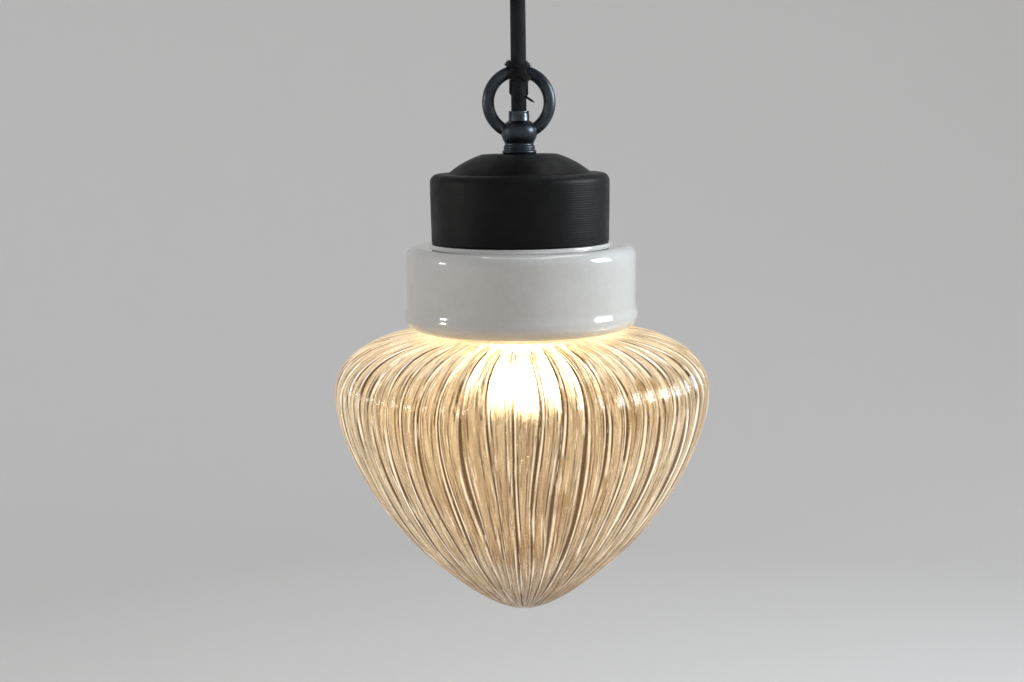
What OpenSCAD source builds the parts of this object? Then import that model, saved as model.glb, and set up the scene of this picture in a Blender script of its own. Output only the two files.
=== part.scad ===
// Pendant ceiling light: a ribbed clear glass shade, acorn shaped, screwed into a porcelain
// collar under a turned black cap. A cast hanging ring clamps the cap to a threaded tube, and
// a textile cord lashed to the ring runs up to a cord grip in a ceiling cup.
// Millimetres, +Z up. The origin is the centre of the ceiling face, and the lamp hangs below.

/* [Ceiling fitting] */
// Distance from the ceiling down to the top of the black cap
drop = 127; // [127:1:140]
// Outer diameter of the ceiling cup
cup_d = 96; // [90:1:120]
// Height of the ceiling cup
cup_h = 32; // [30:1:34]
// Sheet thickness of the ceiling cup
cup_wall = 1.6; // [1:0.1:2.5]
// Outer radius of the cup's lower edge
cup_edge = 8; // [3:0.5:12]
// Width of the ceiling bracket
bracket_w = 18; // [17:1:30]
// Sheet thickness of the ceiling bracket
bracket_t = 2; // [1.5:0.1:3]
// Distance between the bracket's two ceiling screw holes
bracket_holes = 60; // [50:1:70]
// Diameter of the bracket's ceiling screw holes
bracket_hole_d = 4.5; // [3.5:0.1:6]
// Length of the bracket's turned-down ears
ear_l = 13; // [12:0.5:16]
// Outer diameter of the cord grip
grip_d = 15; // [14:0.5:22]
// Length of the cord grip below the cup
grip_l = 16; // [14:0.5:20]
// Length of the soft bush in the grip's mouth
bush_l = 7.7; // [6:0.1:8.5]
// Wall of the soft bush
bush_wall = 1.8; // [1.2:0.1:2]

/* [Cord] */
// Diameter of the textile cord
cord_d = 7.2; // [6.6:0.1:7.4]
// Diameter of one insulated core of the cord
core_d = 2; // [1.6:0.1:2.4]
// Diameter of the lashing twine
twine_d = 1.1; // [0.8:0.1:1.2]
// Turns of twine in each direction across the hanging ring
cross_turns = 2; // [1:1:2]
// Turns of twine round the cord below the crossing
whipping_turns = 5; // [2:1:5]

/* [Hanging ring] */
// Outer diameter of the hanging ring
ring_d = 35; // [33:0.5:36]
// Diameter of the ring's round bar
ring_bar = 5.8; // [5:0.1:6]
// Height of the ring's centre above the cap
ring_rise = 24.3; // [24:0.1:26]
// Diameter of the ball under the ring
ball_d = 16.6; // [15.5:0.1:19]
// Height of the ball, which is a little flattened
ball_h = 14; // [13:0.1:16]
// Height of the ball's centre above the cap
ball_rise = 9.6; // [9:0.1:11]
// Diameter of the neck under the ball
neck_d = 13.5; // [12.5:0.1:15]
// Diameter of the casting's foot on the cap
foot_d = 16.6; // [15.5:0.1:22]
// Radius of the two beads round the casting's foot
foot_bead = 0.9; // [0.6:0.05:0.9]
// Outer diameter of the threaded tube
tube_d = 9.9; // [9.5:0.1:10.2]
// Bore of the threaded tube
tube_bore = 8; // [7.8:0.1:8.2]
// Height of the tube's upper end above the cap
tube_rise = 20.3; // [18:0.1:21]
// Length of the threaded tube
tube_l = 46.3; // [46:0.1:47.5]

/* [Black cap] */
// Diameter of the cap
cap_d = 86; // [80:0.5:90]
// Height of the cap
cap_h = 42; // [41:0.5:45]
// Wall of the cap
cap_wall = 5; // [4:0.1:6]
// How much narrower the cap's foot is than its widest, on the radius
cap_taper = 0.3; // [0.1:0.1:2]
// Diameter of the flat on top of the dome
crown_d = 36.4; // [30:0.2:45]
// Diameter of the dome at the ledge
dome_d = 68.8; // [60:0.2:72]
// Height of the dome above the ledge
dome_h = 9; // [7:0.5:11]
// Radius of the curve of the dome
dome_r = 40; // [20:0.5:60]
// Radius of the cap's outer edge
cap_edge = 4; // [2:0.5:5]

/* [Porcelain collar] */
// Diameter of the collar's side
collar_d = 111.4; // [105:0.2:114]
// Height of the collar without its spigot
collar_h = 39.5; // [38:0.5:44]
// Wall of the collar's side
collar_wall = 5.5; // [4:0.1:7]
// Thickness of the collar's top
collar_top_t = 5.7; // [4.5:0.1:7]
// Radius of the collar's upper edge
collar_edge = 5.5; // [4:0.5:9]
// Depth of the waist in the collar's side
collar_waist = 0.2; // [0:0.1:1.5]
// Diameter of the spigot that the cap sits on
spigot_d = 88; // [87:0.5:92]
// Height of the spigot
spigot_h = 1.3; // [0.6:0.1:3]
// Diameter of the bead at the collar's foot
bead_d = 113; // [111.5:0.5:118]
// Radius of the bead's curve
bead_r = 6.2; // [4:0.1:7]
// Height of the threaded zone that holds the shade
thread_h = 13.8; // [12:0.2:16]

/* [Glass shade] */
// Widest diameter of the shade, over its ribs
shade_d = 182.8; // [160:0.4:200]
// Height of the shade from its shoulder to its tip
shade_h = 139.8; // [130:0.2:150]
// Drop from the shoulder to the widest place
belly_drop = 28.5; // [22:0.5:34]
// Outer diameter of the shade's screwed neck
shade_neck_d = 84.5; // [82:0.1:86]
// Height of the neck above the shoulder
shade_neck_h = 12.5; // [10:0.1:13]
// Wall of the glass
glass_wall = 3.2; // [2.6:0.1:4]
// Number of ribs round the shade
ribs = 54; // [36:1:60]
// Depth of the grooves between the ribs
rib_depth = 1.4; // [0.8:0.1:1.8]
// Thickness of the rubber gasket
gasket_t = 1.6; // [1:0.1:3]
// Width of the gasket's ring
gasket_w = 4; // [3:0.2:5]

/* [Lampholder and bulb] */
// Outer diameter of the porcelain lampholder
holder_d = 40; // [39.5:0.1:42]
// Height of the lampholder below the collar's top
holder_h = 31; // [30:0.5:33]
// Thickness of the lampholder's inner plate
plate_t = 6; // [5:0.1:6.5]
// Inner diameter of the screwed brass shell
shell_bore = 26.8; // [26.6:0.1:27]
// Sheet thickness of the brass shell
shell_wall = 0.6; // [0.4:0.1:0.8]
// Diameter of the bulb's screw cap
screw_cap_d = 26.2; // [25.8:0.1:26.2]
// Length of the bulb's screw cap, from its contact
screw_cap_l = 26; // [24:0.5:27]
// Diameter of the bulb's globe
globe_d = 45; // [44:0.5:60]
// Length of the bulb
bulb_l = 72; // [68:0.5:80]
// Thickness of the bulb's glass
globe_wall = 0.8; // [0.5:0.1:1.2]

/* [Fits] */
// Clearance between pieces that move past each other
run_gap = 0.3; // [0.25:0.05:0.35]
// Radial clearance of a piece that is fixed in a hole
fit_gap = 0.1; // [0.05:0.05:0.15]

/* [Hidden] */
$fn = 64;

// Levels of the ceiling fitting, from the ceiling down
cup_z = -cup_h;
mouth_z = cup_z - grip_l;
side_screw_z = -ear_l + 5;
cup_bore = cup_d - 2 * cup_wall;
bracket_l = 2 * sqrt(pow(cup_bore / 2 - run_gap, 2) - pow(bracket_w / 2, 2));

// Levels of the lamp, from the cap's crown
cap_z = -drop;
ring_z = cap_z + ring_rise;
ball_z = cap_z + ball_rise;
neck_z = ball_z - ball_h / 2 * sqrt(1 - pow(neck_d / ball_d, 2));
tube_z = cap_z + tube_rise;
tube_end_z = tube_z - tube_l;
ring_r = (ring_d - ring_bar) / 2;
bar_z = ring_z + ring_r;
cap_foot_z = cap_z - cap_h;
cap_ledge_z = cap_z - dome_h;
collar_z = cap_foot_z - spigot_h;
collar_ceiling_z = collar_z - collar_top_t;
collar_foot_z = collar_z - collar_h;
thread_z = collar_foot_z + thread_h;
thread_r = shade_neck_d / 2 + run_gap;
thread_runout = 4;
lead_in = 1;
collar_fillet = 3;
gasket_z = collar_foot_z - run_gap;
shoulder_z = gasket_z - gasket_t - run_gap;
shade_neck_z = shoulder_z + shade_neck_h;
belly_z = shoulder_z - belly_drop;
tip_z = shoulder_z - shade_h;

// Screws and nuts: a screw's diameter over its thread, its head's diameter and height, and a
// nut's width across its flats and height
m2 = 2.4;
m3 = 2.9;
m4 = 3.9;
m2_head = [4.2, 1.6];
m3_head = [5, 2];
m4_head = [7, 2.5];
m3_nut = [5.5, 2.4];
m4_nut = [7, 3.2];
tube_nut = [14, 3.5];
slot_w = 0.9;
screw_end = 1;

// How far a cutter reaches past the face that it cuts
past = 1;

// Terminal block under the bracket: its poles lie along X and its wires enter along Y
terminal_l = 29;
terminal_w = 15;
terminal_h = 9;
terminal_poles = [-10, 0, 10];
terminal_axis = 4.9;
terminal_screw_x = 5;
tower_d = 5.4;
tower_h = 3;
insert_d = 4.4;
insert_set = 1;
terminal_bore = 3;

// Cord grip: a stem through the cup, a seat for the bush and a clamp screw above it
stem_top_z = cup_z + 8;
grip_edge = 1.5;
bush_bore_r = cord_d / 2 + 0.6;
bush_r = bush_bore_r + bush_wall;
bush_z = mouth_z + run_gap;
bush_seat_z = bush_z + bush_l + run_gap;
grip_screw_z = cup_z - 3.5;

// The tube's nuts, washer and strap, from the cap's inner top down
washer_t = 1.2;
washer_d = 20;
strap_t = 2;
strap_w = 14;
strap_z = tube_end_z + tube_nut[1] + 1.5;
washer_z = cap_z - cap_wall;
upper_nut_z = washer_z - washer_t;
strap_screw_x = (holder_d + m4_head[0]) / 2 + 1.5;
fibre_t = 0.8;
fibre_d = 9;

// The lampholder, from the collar's ceiling down
boss_h = 4;
boss_d = 25.2;
boss_z = collar_ceiling_z + boss_h;
plate_z = collar_ceiling_z - plate_t;
holder_z = collar_ceiling_z - holder_h;
holder_edge = 1;
shell_flange = 3;
holder_bore = shell_bore + 2 * shell_wall + 2 * fit_gap;
holder_screw_y = (holder_bore + holder_d) / 4;
terminal_x = 7.5;
terminal_size = [6, 8, 6];
terminal_top_z = boss_z + terminal_size[2];
wire_hole = 3.2;
contact_r = 3.5;
contact_t = 1;
contact_pin_r = 1.5;
pin_l = 2;
contact_travel = 0.8;
contact_drop = 2.7;
pin_depth = pin_l + contact_travel + run_gap;
contact_z = plate_z - contact_drop - contact_t;

// The cord clamp, the cord's lower end and its cores share the room between the tube's end
// and the terminals
wire_room = tube_end_z - terminal_top_z;
clamp_z = tube_end_z - 0.115 * wire_room;
clamp_h = 0.385 * wire_room;
clamp_d = 15;
clamp_slot = 1.5;
cord_end_z = clamp_z - clamp_h - 0.04 * wire_room;
core_drop = cord_end_z - terminal_top_z;

// The bulb, from its tip contact down
bulb_z = contact_z - run_gap;
tip_t = 1.6;
tip_r = 4.6;
insulator_z = bulb_z - tip_t - fit_gap;
insulator_h = 4.4;
insulator_r = 11;
screw_cap_r = screw_cap_d / 2;
screw_cap_wall = 0.5;
screw_cap_top_z = insulator_z - insulator_h;
screw_cap_z = bulb_z - screw_cap_l;
skirt_h = 3;
skirt_flare = 0.5;
bulb_neck_r = screw_cap_r - screw_cap_wall - fit_gap;
globe_r = globe_d / 2;
globe_z = bulb_z - bulb_l + globe_r;
stem_r = 4;
stem_h = 20;
stem_z = screw_cap_z + skirt_h + 2;
filament_r = 8;
filament_drop = 8;
lead_d = 0.8;

// The cord's route, from its pivot in the grip's mouth to its end in the lamp: it comes
// down in front of the ring's top bar, then bends back into the threaded tube
route = [[0, 0, -48], [0, 0, -51], [0, -0.2, -54], [0, -0.75, -58], [0, -1.55, -62],
    [0, -2.5, -66], [0, -3.5, -70], [0, -4.5, -74], [0, -5.4, -78], [0, -6.05, -82],
    [0, -6.45, -85.5], [0, -6.55, -88], [0, -6.35, -90.5], [0, -5.6, -93.5],
    [0, -4.1, -96.5], [0, -2, -99.5], [0, -0.75, -102], [0, -0.15, -104.5], [0, 0, -107],
    [0, 0, -114], [0, 0, -128], [0, 0, -144], [0, 0, cord_end_z]];
cord_sides = 12;

// The lashing: turns that cross the cord and the ring's bar both ways, then turns round the cord
twine_pitch = twine_d + 0.05;
cross_angle = 45;
cross_drop = 1;
cross_front = -4.1;
cross_back = -1.6;
cross_r = 6.85 + twine_d / 2;
whipping_z = bar_z - ring_bar / 2 - 2.2;
tail_route = [[3.9, -4.9, -98.4], [4.9, -5.3, -99.6], [6.2, -5.5, -100.6], [7.8, -5.6, -101.6]];

// The cores' routes from the cord's ends to the terminals: one is given, the other is its mirror
lamp_core_route = concat(
    [for (p = [[1.6, 0], [1.6, 0.17], [2.6, 0.43], [5.2, 0.65], [terminal_x - 0.5, 0.87]])
        [p[0], 0, cord_end_z - p[1] * core_drop]],
    [for (z = [1, 3]) [terminal_x, 0, terminal_top_z - z]]);
ceiling_core_route = [[1.6, 0, -20], [1.6, 0, -19], [2.4, -2, -17.8], [5, -6, -17],
    [8.4, -10.2, -15], [9.8, -12.2, -11.5], [10, -11.6, -8.4], [10, -9, -7], [10, -6.4, -6.9]];

// Rounded crown of the shade's ribs: how deep each of a rib's four points lies in the groove
rib_form = [1, 0.24, 0, 0.24];
shade_steps = 8;
inner_step = 2;

// Points of an arc about [x, y], from angle a to angle b
function arc(x, y, r, a, b, n = 8) =
    [for (i = [0:n]) let(t = a + (b - a) * i / n) [x + r * cos(t), y + r * sin(t)]];

// Points of an arc of radius r from p to q that bulges to the left of the way from p to q
function bulge(p, q, r, n = 8) =
    let(half = norm(q - p) / 2, mid = (p + q) / 2, along = (q - p) / (2 * half),
        centre = mid - sqrt(r * r - half * half) * [-along[1], along[0]],
        a = atan2(p[1] - centre[1], p[0] - centre[0]), turn = 2 * asin(half / r))
    arc(centre[0], centre[1], r, a, a - turn, n);

// Points of a cubic curve with end points p[0] and p[3] and handles p[1] and p[2]
function curve(p, n = 8) =
    [for (i = [0:n]) let(t = i / n, s = 1 - t)
        s * s * s * p[0] + 3 * s * s * t * p[1] + 3 * s * t * t * p[2] + t * t * t * p[3]];

// A list without its first item
function rest_of(list) = [for (i = [1:len(list) - 1]) list[i]];

// Height of the cord's centre line: its y at a height z
function cord_y(z) = lookup(z, [for (p = route) [p[2], p[1]]]);

// A solid of revolution about Z from an outline of [radius, z] points
module revolve(points) rotate_extrude($fn = 96) polygon(points);

// A round tube along a path, with a radius at each point. ref is never along the path
module sweep(path, radii, sides, ref = [1, 0, 0]) {
    count = len(path);
    ring = [for (i = [0:count - 1])
        let(ahead = path[min(i + 1, count - 1)] - path[max(i - 1, 0)], t = ahead / norm(ahead),
            side = cross(t, ref), u = side / norm(side), v = cross(t, u))
        for (j = [0:sides - 1]) let(a = 360 * j / sides)
            path[i] + radii[i] * (cos(a) * u + sin(a) * v)];
    walls = [for (i = [0:count - 2], j = [0:sides - 1]) let(k = (j + 1) % sides)
        [i * sides + j, (i + 1) * sides + j, (i + 1) * sides + k, i * sides + k]];
    start = [for (j = [0:sides - 1]) j];
    end = [for (j = [sides - 1:-1:0]) (count - 1) * sides + j];
    polyhedron(ring, concat(walls, [start, end]), convexity = 4);
}

// A slotted machine screw: the head's under side at z = 0, the shank going down
module screw(d, l, head) {
    difference() {
        union() {
            cylinder(d = head[0], h = head[1]);
            translate([0, 0, -l]) cylinder(d = d, h = l + head[1] / 2);
        }
        translate([0, 0, head[1]]) cube([head[0] + past, slot_w, head[1]], center = true);
    }
}

// A hexagon nut on z = 0, for a thread of diameter d
module nut(size, d) {
    difference() {
        cylinder(d = size[0] / cos(30), h = size[1], $fn = 6);
        translate([0, 0, -past]) cylinder(d = d + 2 * fit_gap, h = size[1] + 2 * past);
    }
}

// Two copies of a piece, on opposite sides of the lamp's axis
module opposite_pair() for (a = [0, 180]) rotate([0, 0, a]) children();

module ceiling_bracket() color("silver") difference() {
    union() {
        translate([-bracket_l / 2, -bracket_w / 2, -bracket_t]) cube([bracket_l, bracket_w, bracket_t]);
        opposite_pair() translate([bracket_l / 2 - bracket_t, -bracket_w / 2, -ear_l])
            cube([bracket_t, bracket_w, ear_l]);
    }
    opposite_pair() {
        translate([bracket_holes / 2, 0, -bracket_t - past])
            cylinder(d = bracket_hole_d, h = bracket_t + 2 * past);
        translate([0, 0, side_screw_z]) rotate([0, 90, 0]) cylinder(d = m4 + 2 * fit_gap, h = cup_d);
    }
    translate([terminal_screw_x, 0, -bracket_t - past])
        cylinder(d = m2 + 2 * fit_gap, h = bracket_t + 2 * past);
}

module ceiling_cup() color("dimgray") difference() {
    revolve(concat(
        [[tube_d / 2 + fit_gap, cup_z]],
        arc(cup_d / 2 - cup_edge, cup_z + cup_edge, cup_edge, -90, 0),
        [[cup_d / 2, 0], [cup_bore / 2, 0]],
        arc(cup_d / 2 - cup_edge, cup_z + cup_edge, cup_edge - cup_wall, 0, -90),
        [[tube_d / 2 + fit_gap, cup_z + cup_wall]]));
    opposite_pair() translate([0, 0, side_screw_z]) rotate([0, 90, 0])
        cylinder(d = m4 + 2 * fit_gap, h = cup_d);
}

module cup_screws() color("silver") opposite_pair()
    translate([cup_d / 2, 0, side_screw_z]) rotate([0, 90, 0])
        screw(m4, (cup_d - bracket_l) / 2 + bracket_t + 2 * screw_end, m4_head);

module terminal_block() color("whitesmoke") translate([0, 0, -bracket_t]) difference() {
    union() {
        translate([-terminal_l / 2, -terminal_w / 2, -terminal_h])
            cube([terminal_l, terminal_w, terminal_h]);
        for (x = terminal_poles) translate([x, 0, -terminal_h - tower_h])
            cylinder(d = tower_d, h = tower_h + past);
    }
    for (x = terminal_poles) {
        translate([x, 0, -terminal_axis]) rotate([90, 0, 0])
            cylinder(d = insert_d + 2 * fit_gap, h = terminal_w + 2 * past, center = true);
        translate([x, 0, -terminal_h - tower_h - past])
            cylinder(d = m3 + 2 * fit_gap, h = terminal_h + tower_h + past - terminal_axis);
    }
    translate([terminal_screw_x, 0, -terminal_h - past])
        cylinder(d = m2 + 2 * fit_gap, h = terminal_h + 2 * past);
}

module terminal_clamps() color("gold") for (x = terminal_poles)
    translate([x, 0, -bracket_t - terminal_axis]) difference() {
        union() {
            rotate([90, 0, 0]) cylinder(d = insert_d, h = terminal_w - 2 * insert_set, center = true);
            translate([0, 0, terminal_axis - terminal_h - tower_h + insert_set])
                cylinder(d = m3, h = terminal_h + tower_h - terminal_axis - insert_set);
        }
        rotate([90, 0, 0]) cylinder(d = terminal_bore, h = terminal_w, center = true);
    }

module terminal_screw() color("silver")
    translate([terminal_screw_x, 0, -bracket_t - terminal_h]) rotate([180, 0, 0])
        screw(m2, terminal_h + bracket_t - run_gap, m2_head);

module cord_grip() color("dimgray") difference() {
    revolve(concat(
        [[cord_d / 2 + run_gap, stem_top_z], [tube_d / 2, stem_top_z], [tube_d / 2, cup_z],
         [grip_d / 2, cup_z]],
        arc(grip_d / 2 - grip_edge, mouth_z + grip_edge, grip_edge, 0, -90, 4),
        [[bush_r + fit_gap, mouth_z], [bush_r + fit_gap, bush_seat_z],
         [cord_d / 2 + run_gap, bush_seat_z]]));
    translate([0, 0, grip_screw_z]) rotate([-90, 0, 0]) cylinder(d = m3 + 2 * fit_gap, h = grip_d);
}

module grip_nut() color("silver") translate([0, 0, cup_z + cup_wall]) nut(tube_nut, tube_d);

module grip_screw() color("silver") translate([0, grip_d / 2, grip_screw_z]) rotate([-90, 0, 0])
    screw(m3, (grip_d - cord_d) / 2 - fit_gap, m3_head);

module ceiling_cord_end() color("darkslategray") translate([0, 0, mouth_z + cord_d / 2 + run_gap])
    cylinder(d = cord_d, h = ceiling_core_route[0][2] - mouth_z - cord_d / 2 - run_gap);

module ceiling_cores() color("sienna") for (s = [-1, 1])
    sweep([for (p = ceiling_core_route) [s * p[0], p[1], p[2]]],
        [for (p = ceiling_core_route) core_d / 2], 8, [0, s, 0.2]);

module grip_bush() color("black") revolve([[bush_bore_r, bush_z], [bush_r, bush_z],
    [bush_r, bush_z + bush_l], [bush_bore_r, bush_z + bush_l]]);

// The cord's upper end is half a ball about the pivot, so the cord can swing in the bush
module cord() color("darkslategray") {
    crown = [70, 46, 22];
    path = concat([for (a = crown) route[0] + [0, 0, cord_d / 2 * sin(a)]], route);
    radii = concat([for (a = crown) cord_d / 2 * cos(a)], [for (p = route) cord_d / 2]);
    sweep(path, radii, cord_sides);
}

// One turn of twine: a ring drawn out along Y from y = back to y = front
module twine_turn(r, front, back) {
    for (end = [[front, 180], [back, 0]]) translate([0, end[0], 0]) rotate([0, 0, end[1]])
        rotate_extrude(angle = 180, $fn = 48) translate([r, 0]) circle(d = twine_d, $fn = 16);
    for (s = [-1, 1]) translate([s * r, front, 0]) rotate([-90, 0, 0])
        cylinder(d = twine_d, h = back - front, $fn = 16);
}

module cord_lashing() color("black") {
    for (way = [-1, 1], k = [1:cross_turns]) translate([0, 0, bar_z - cross_drop])
        rotate([0, way * cross_angle, 0])
            translate([0, 0, (k - (cross_turns + 1) / 2) * twine_pitch])
                twine_turn(cross_r + (way + 1) / 2 * twine_pitch, cross_front, cross_back);
    for (k = [0:whipping_turns - 1]) let(z = whipping_z - k * twine_pitch)
        translate([0, cord_y(z), z])
            rotate([atan2(cord_y(z - 0.5) - cord_y(z + 0.5), 1), 0, 0])
                rotate_extrude($fn = 48) translate([cord_d / 2 + twine_d / 2 + 0.05, 0])
                    circle(d = twine_d, $fn = 16);
    sweep(tail_route, [for (p = tail_route) twine_d / 2], 8, [0, 0, 1]);
}

module hanging_ring() color("#3b3d42") difference() {
    union() {
        translate([0, 0, ring_z]) rotate([90, 0, 0]) rotate_extrude($fn = 96)
            translate([ring_r, 0]) circle(d = ring_bar, $fn = 48);
        revolve([for (a = [90:-7.5:-90]) [ball_d / 2 * cos(a), ball_z + ball_h / 2 * sin(a)]]);
        revolve(concat([[0, ball_z], [neck_d / 2, ball_z], [neck_d / 2, neck_z]],
            arc(foot_d / 2 - 1.6 * foot_bead, cap_z + 3 * foot_bead, foot_bead, 90, -60),
            arc(foot_d / 2 - foot_bead, cap_z + foot_bead, foot_bead, 60, 0, 5),
            [[foot_d / 2, cap_z], [0, cap_z]]));
    }
    translate([0, 0, cap_z - past]) cylinder(d = tube_d + fit_gap, h = ring_rise);
}

module threaded_tube() color("silver") translate([0, 0, tube_end_z]) difference() {
    cylinder(d = tube_d, h = tube_l);
    translate([0, 0, -past]) cylinder(d = tube_bore, h = tube_l + 2 * past);
}

// Turned cap: a domed crown on a ledge, a rounded edge and a side that narrows to its foot
module top_cap() color("#1d1c1c") {
    r = cap_d / 2;
    in_z = cap_ledge_z - cap_wall;
    crown = bulge([crown_d / 2, cap_z], [dome_d / 2, cap_ledge_z], dome_r);
    vault = bulge([crown_d / 2 - 2, cap_z - cap_wall], [dome_d / 2 - 1, in_z], dome_r);
    revolve(concat(
        [[tube_d / 2 + fit_gap, cap_z]], crown,
        arc(r - cap_edge, cap_ledge_z - cap_edge, cap_edge, 90, 0),
        [[r - cap_taper, cap_foot_z], [r - cap_taper - cap_wall, cap_foot_z],
         [r - cap_wall, in_z - 2], [r - cap_wall - 2, in_z]],
        [for (i = [len(vault) - 1:-1:0]) vault[i]], [[tube_d / 2 + fit_gap, cap_z - cap_wall]]));
}

module tube_washer() color("silver") translate([0, 0, washer_z - washer_t]) difference() {
    cylinder(d = washer_d, h = washer_t);
    translate([0, 0, -past]) cylinder(d = tube_d + 2 * fit_gap, h = washer_t + 2 * past);
}

module tube_nuts() color("goldenrod")
    for (z = [upper_nut_z - tube_nut[1], strap_z + strap_t, strap_z - tube_nut[1]])
        translate([0, 0, z]) nut(tube_nut, tube_d);

module fixing_strap() color("silver") translate([0, 0, strap_z]) difference() {
    union() {
        translate([-strap_screw_x, -strap_w / 2, 0]) cube([2 * strap_screw_x, strap_w, strap_t]);
        opposite_pair() translate([strap_screw_x, 0, 0]) cylinder(d = strap_w, h = strap_t);
    }
    translate([0, 0, -past]) cylinder(d = tube_d + 2 * fit_gap, h = strap_t + 2 * past);
    opposite_pair() translate([strap_screw_x, 0, -past])
        cylinder(d = m4 + 2 * fit_gap, h = strap_t + 2 * past);
}

module collar_screws() color("silver") opposite_pair()
    translate([strap_screw_x, 0, collar_ceiling_z - fibre_t]) rotate([180, 0, 0])
        screw(m4, strap_z + strap_t + m4_nut[1] + screw_end - collar_ceiling_z + fibre_t, m4_head);

module collar_nuts() color("silver") opposite_pair()
    translate([strap_screw_x, 0, strap_z + strap_t]) nut(m4_nut, m4);

module collar_washers() color("firebrick") opposite_pair()
    translate([strap_screw_x, 0, collar_ceiling_z - fibre_t]) difference() {
        cylinder(d = fibre_d, h = fibre_t);
        translate([0, 0, -past]) cylinder(d = m4 + 2 * fit_gap, h = fibre_t + 2 * past);
    }

// Split ring that grips the cord below the tube
module cord_clamp() color("whitesmoke") translate([0, 0, clamp_z - clamp_h]) difference() {
    cylinder(d = clamp_d, h = clamp_h);
    translate([0, 0, -past]) cylinder(d = cord_d + fit_gap, h = clamp_h + 2 * past);
    translate([0, -clamp_slot / 2, -past]) cube([clamp_d, clamp_slot, clamp_h + 2 * past]);
}

module lamp_cores() color("steelblue") for (s = [-1, 1])
    sweep([for (p = lamp_core_route) [s * p[0], p[1], p[2]]],
        [for (p = lamp_core_route) core_d / 2], 8, [0, 1, 0]);

// Slip-cast collar: a spigot, a rounded edge, a slightly waisted side and a rolled bead,
// with a threaded zone inside for the shade
module porcelain_collar() color("ivory") {
    r = collar_d / 2;
    bead_x = bead_d / 2 - bead_r;
    bead_z = collar_foot_z + bead_r;
    meet = 25;
    bead_top = [bead_x + bead_r * cos(meet), bead_z + bead_r * sin(meet)];
    waist_z = bead_z + 1.5 * bead_r;
    side_z = collar_z - collar_edge;
    in_r = r - collar_wall;
    difference() {
        revolve(concat(
            [[boss_d / 2 + run_gap, cap_foot_z], [spigot_d / 2, cap_foot_z], [spigot_d / 2, collar_z]],
            arc(r - collar_edge, collar_z - collar_edge, collar_edge, 90, 0),
            rest_of(curve([[r, side_z], [r, side_z - 5], [r - collar_waist, waist_z + 5],
                [r - collar_waist, waist_z]])),
            rest_of(curve([[r - collar_waist, waist_z], [r - collar_waist, waist_z - 4],
                bead_top - 2.5 * [sin(meet), -cos(meet)], bead_top])),
            rest_of(arc(bead_x, bead_z, bead_r, meet, -90, 12)),
            [[thread_r + lead_in, collar_foot_z], [thread_r, collar_foot_z + lead_in],
             [thread_r, thread_z], [in_r, thread_z + thread_runout]],
            arc(in_r - collar_fillet, collar_ceiling_z - collar_fillet, collar_fillet, 0, 90, 4),
            [[boss_d / 2 + run_gap, collar_ceiling_z]]));
        opposite_pair() {
            translate([strap_screw_x, 0, collar_ceiling_z - past])
                cylinder(d = m4 + 2 * fit_gap, h = collar_top_t + spigot_h + 2 * past);
            translate([0, holder_screw_y, collar_ceiling_z - past])
                cylinder(d = m3 + 2 * fit_gap, h = collar_top_t + spigot_h + 2 * past);
        }
    }
}

module holder_body() color("ivory") difference() {
    revolve([[contact_pin_r + run_gap, plate_z], [holder_bore / 2, plate_z],
        [holder_bore / 2, holder_z], [holder_d / 2 - holder_edge, holder_z],
        [holder_d / 2, holder_z + holder_edge],
        [holder_d / 2, collar_ceiling_z], [boss_d / 2, collar_ceiling_z], [boss_d / 2, boss_z],
        [0, boss_z], [0, plate_z + pin_depth], [contact_pin_r + run_gap, plate_z + pin_depth]]);
    opposite_pair() translate([0, holder_screw_y, holder_z - past])
        cylinder(d = m3 + 2 * fit_gap, h = holder_h + 2 * past);
}

module holder_shell() color("gold") revolve([[shell_bore / 2 - shell_flange, plate_z - shell_wall],
    [shell_bore / 2, plate_z - shell_wall], [shell_bore / 2, holder_z + holder_edge],
    [shell_bore / 2 + shell_wall, holder_z + holder_edge], [shell_bore / 2 + shell_wall, plate_z],
    [shell_bore / 2 - shell_flange, plate_z]]);

module holder_terminals() color("gold") opposite_pair() difference() {
    translate([terminal_x - terminal_size[0] / 2, -terminal_size[1] / 2, boss_z])
        cube(terminal_size);
    translate([terminal_x, 0, terminal_top_z - wire_hole])
        cylinder(d = terminal_bore, h = wire_hole + past);
}

module holder_screws() color("silver") opposite_pair() translate([0, holder_screw_y, 0]) {
    translate([0, 0, holder_z]) rotate([180, 0, 0])
        screw(m3, cap_foot_z + m3_nut[1] + screw_end - holder_z, m3_head);
    translate([0, 0, cap_foot_z]) nut(m3_nut, m3);
}

module centre_contact() color("gold") {
    translate([0, 0, contact_z]) cylinder(r = contact_r, h = contact_t);
    translate([0, 0, contact_z]) cylinder(r = contact_pin_r, h = contact_t + contact_drop + pin_l);
}

module shade_gasket() color("black") {
    in_r = shade_neck_d / 2 + run_gap;
    revolve([[in_r, gasket_z - gasket_t], [in_r + gasket_w, gasket_z - gasket_t],
        [in_r + gasket_w, gasket_z], [in_r, gasket_z]]);
}

// Crest line of the shade from the neck's top down to the tip: the shoulder swells out to the
// belly, then the side draws in to a cone that ends in a rounded tip
shade_neck_r = shade_neck_d / 2;
flank = [0.57 * shade_d / 2, tip_z + 0.242 * shade_h];
cone = [0.716, 0.698];
belly = [shade_d / 2, belly_z];
shade_line = concat(
    [[shade_neck_r, shade_neck_z], [shade_neck_r, shoulder_z]],
    curve([[shade_neck_r + gasket_w, shoulder_z], [shade_d / 2 * 0.81, shoulder_z - 1.5],
        belly + [0, 0.58 * belly_drop], belly], shade_steps - 1),
    rest_of(curve([belly, belly - [0, 26], flank + 24 * cone, flank], shade_steps - 2)),
    rest_of(curve([flank, flank - 24 * cone, [14, tip_z], [0, tip_z]], shade_steps - 2)));

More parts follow.
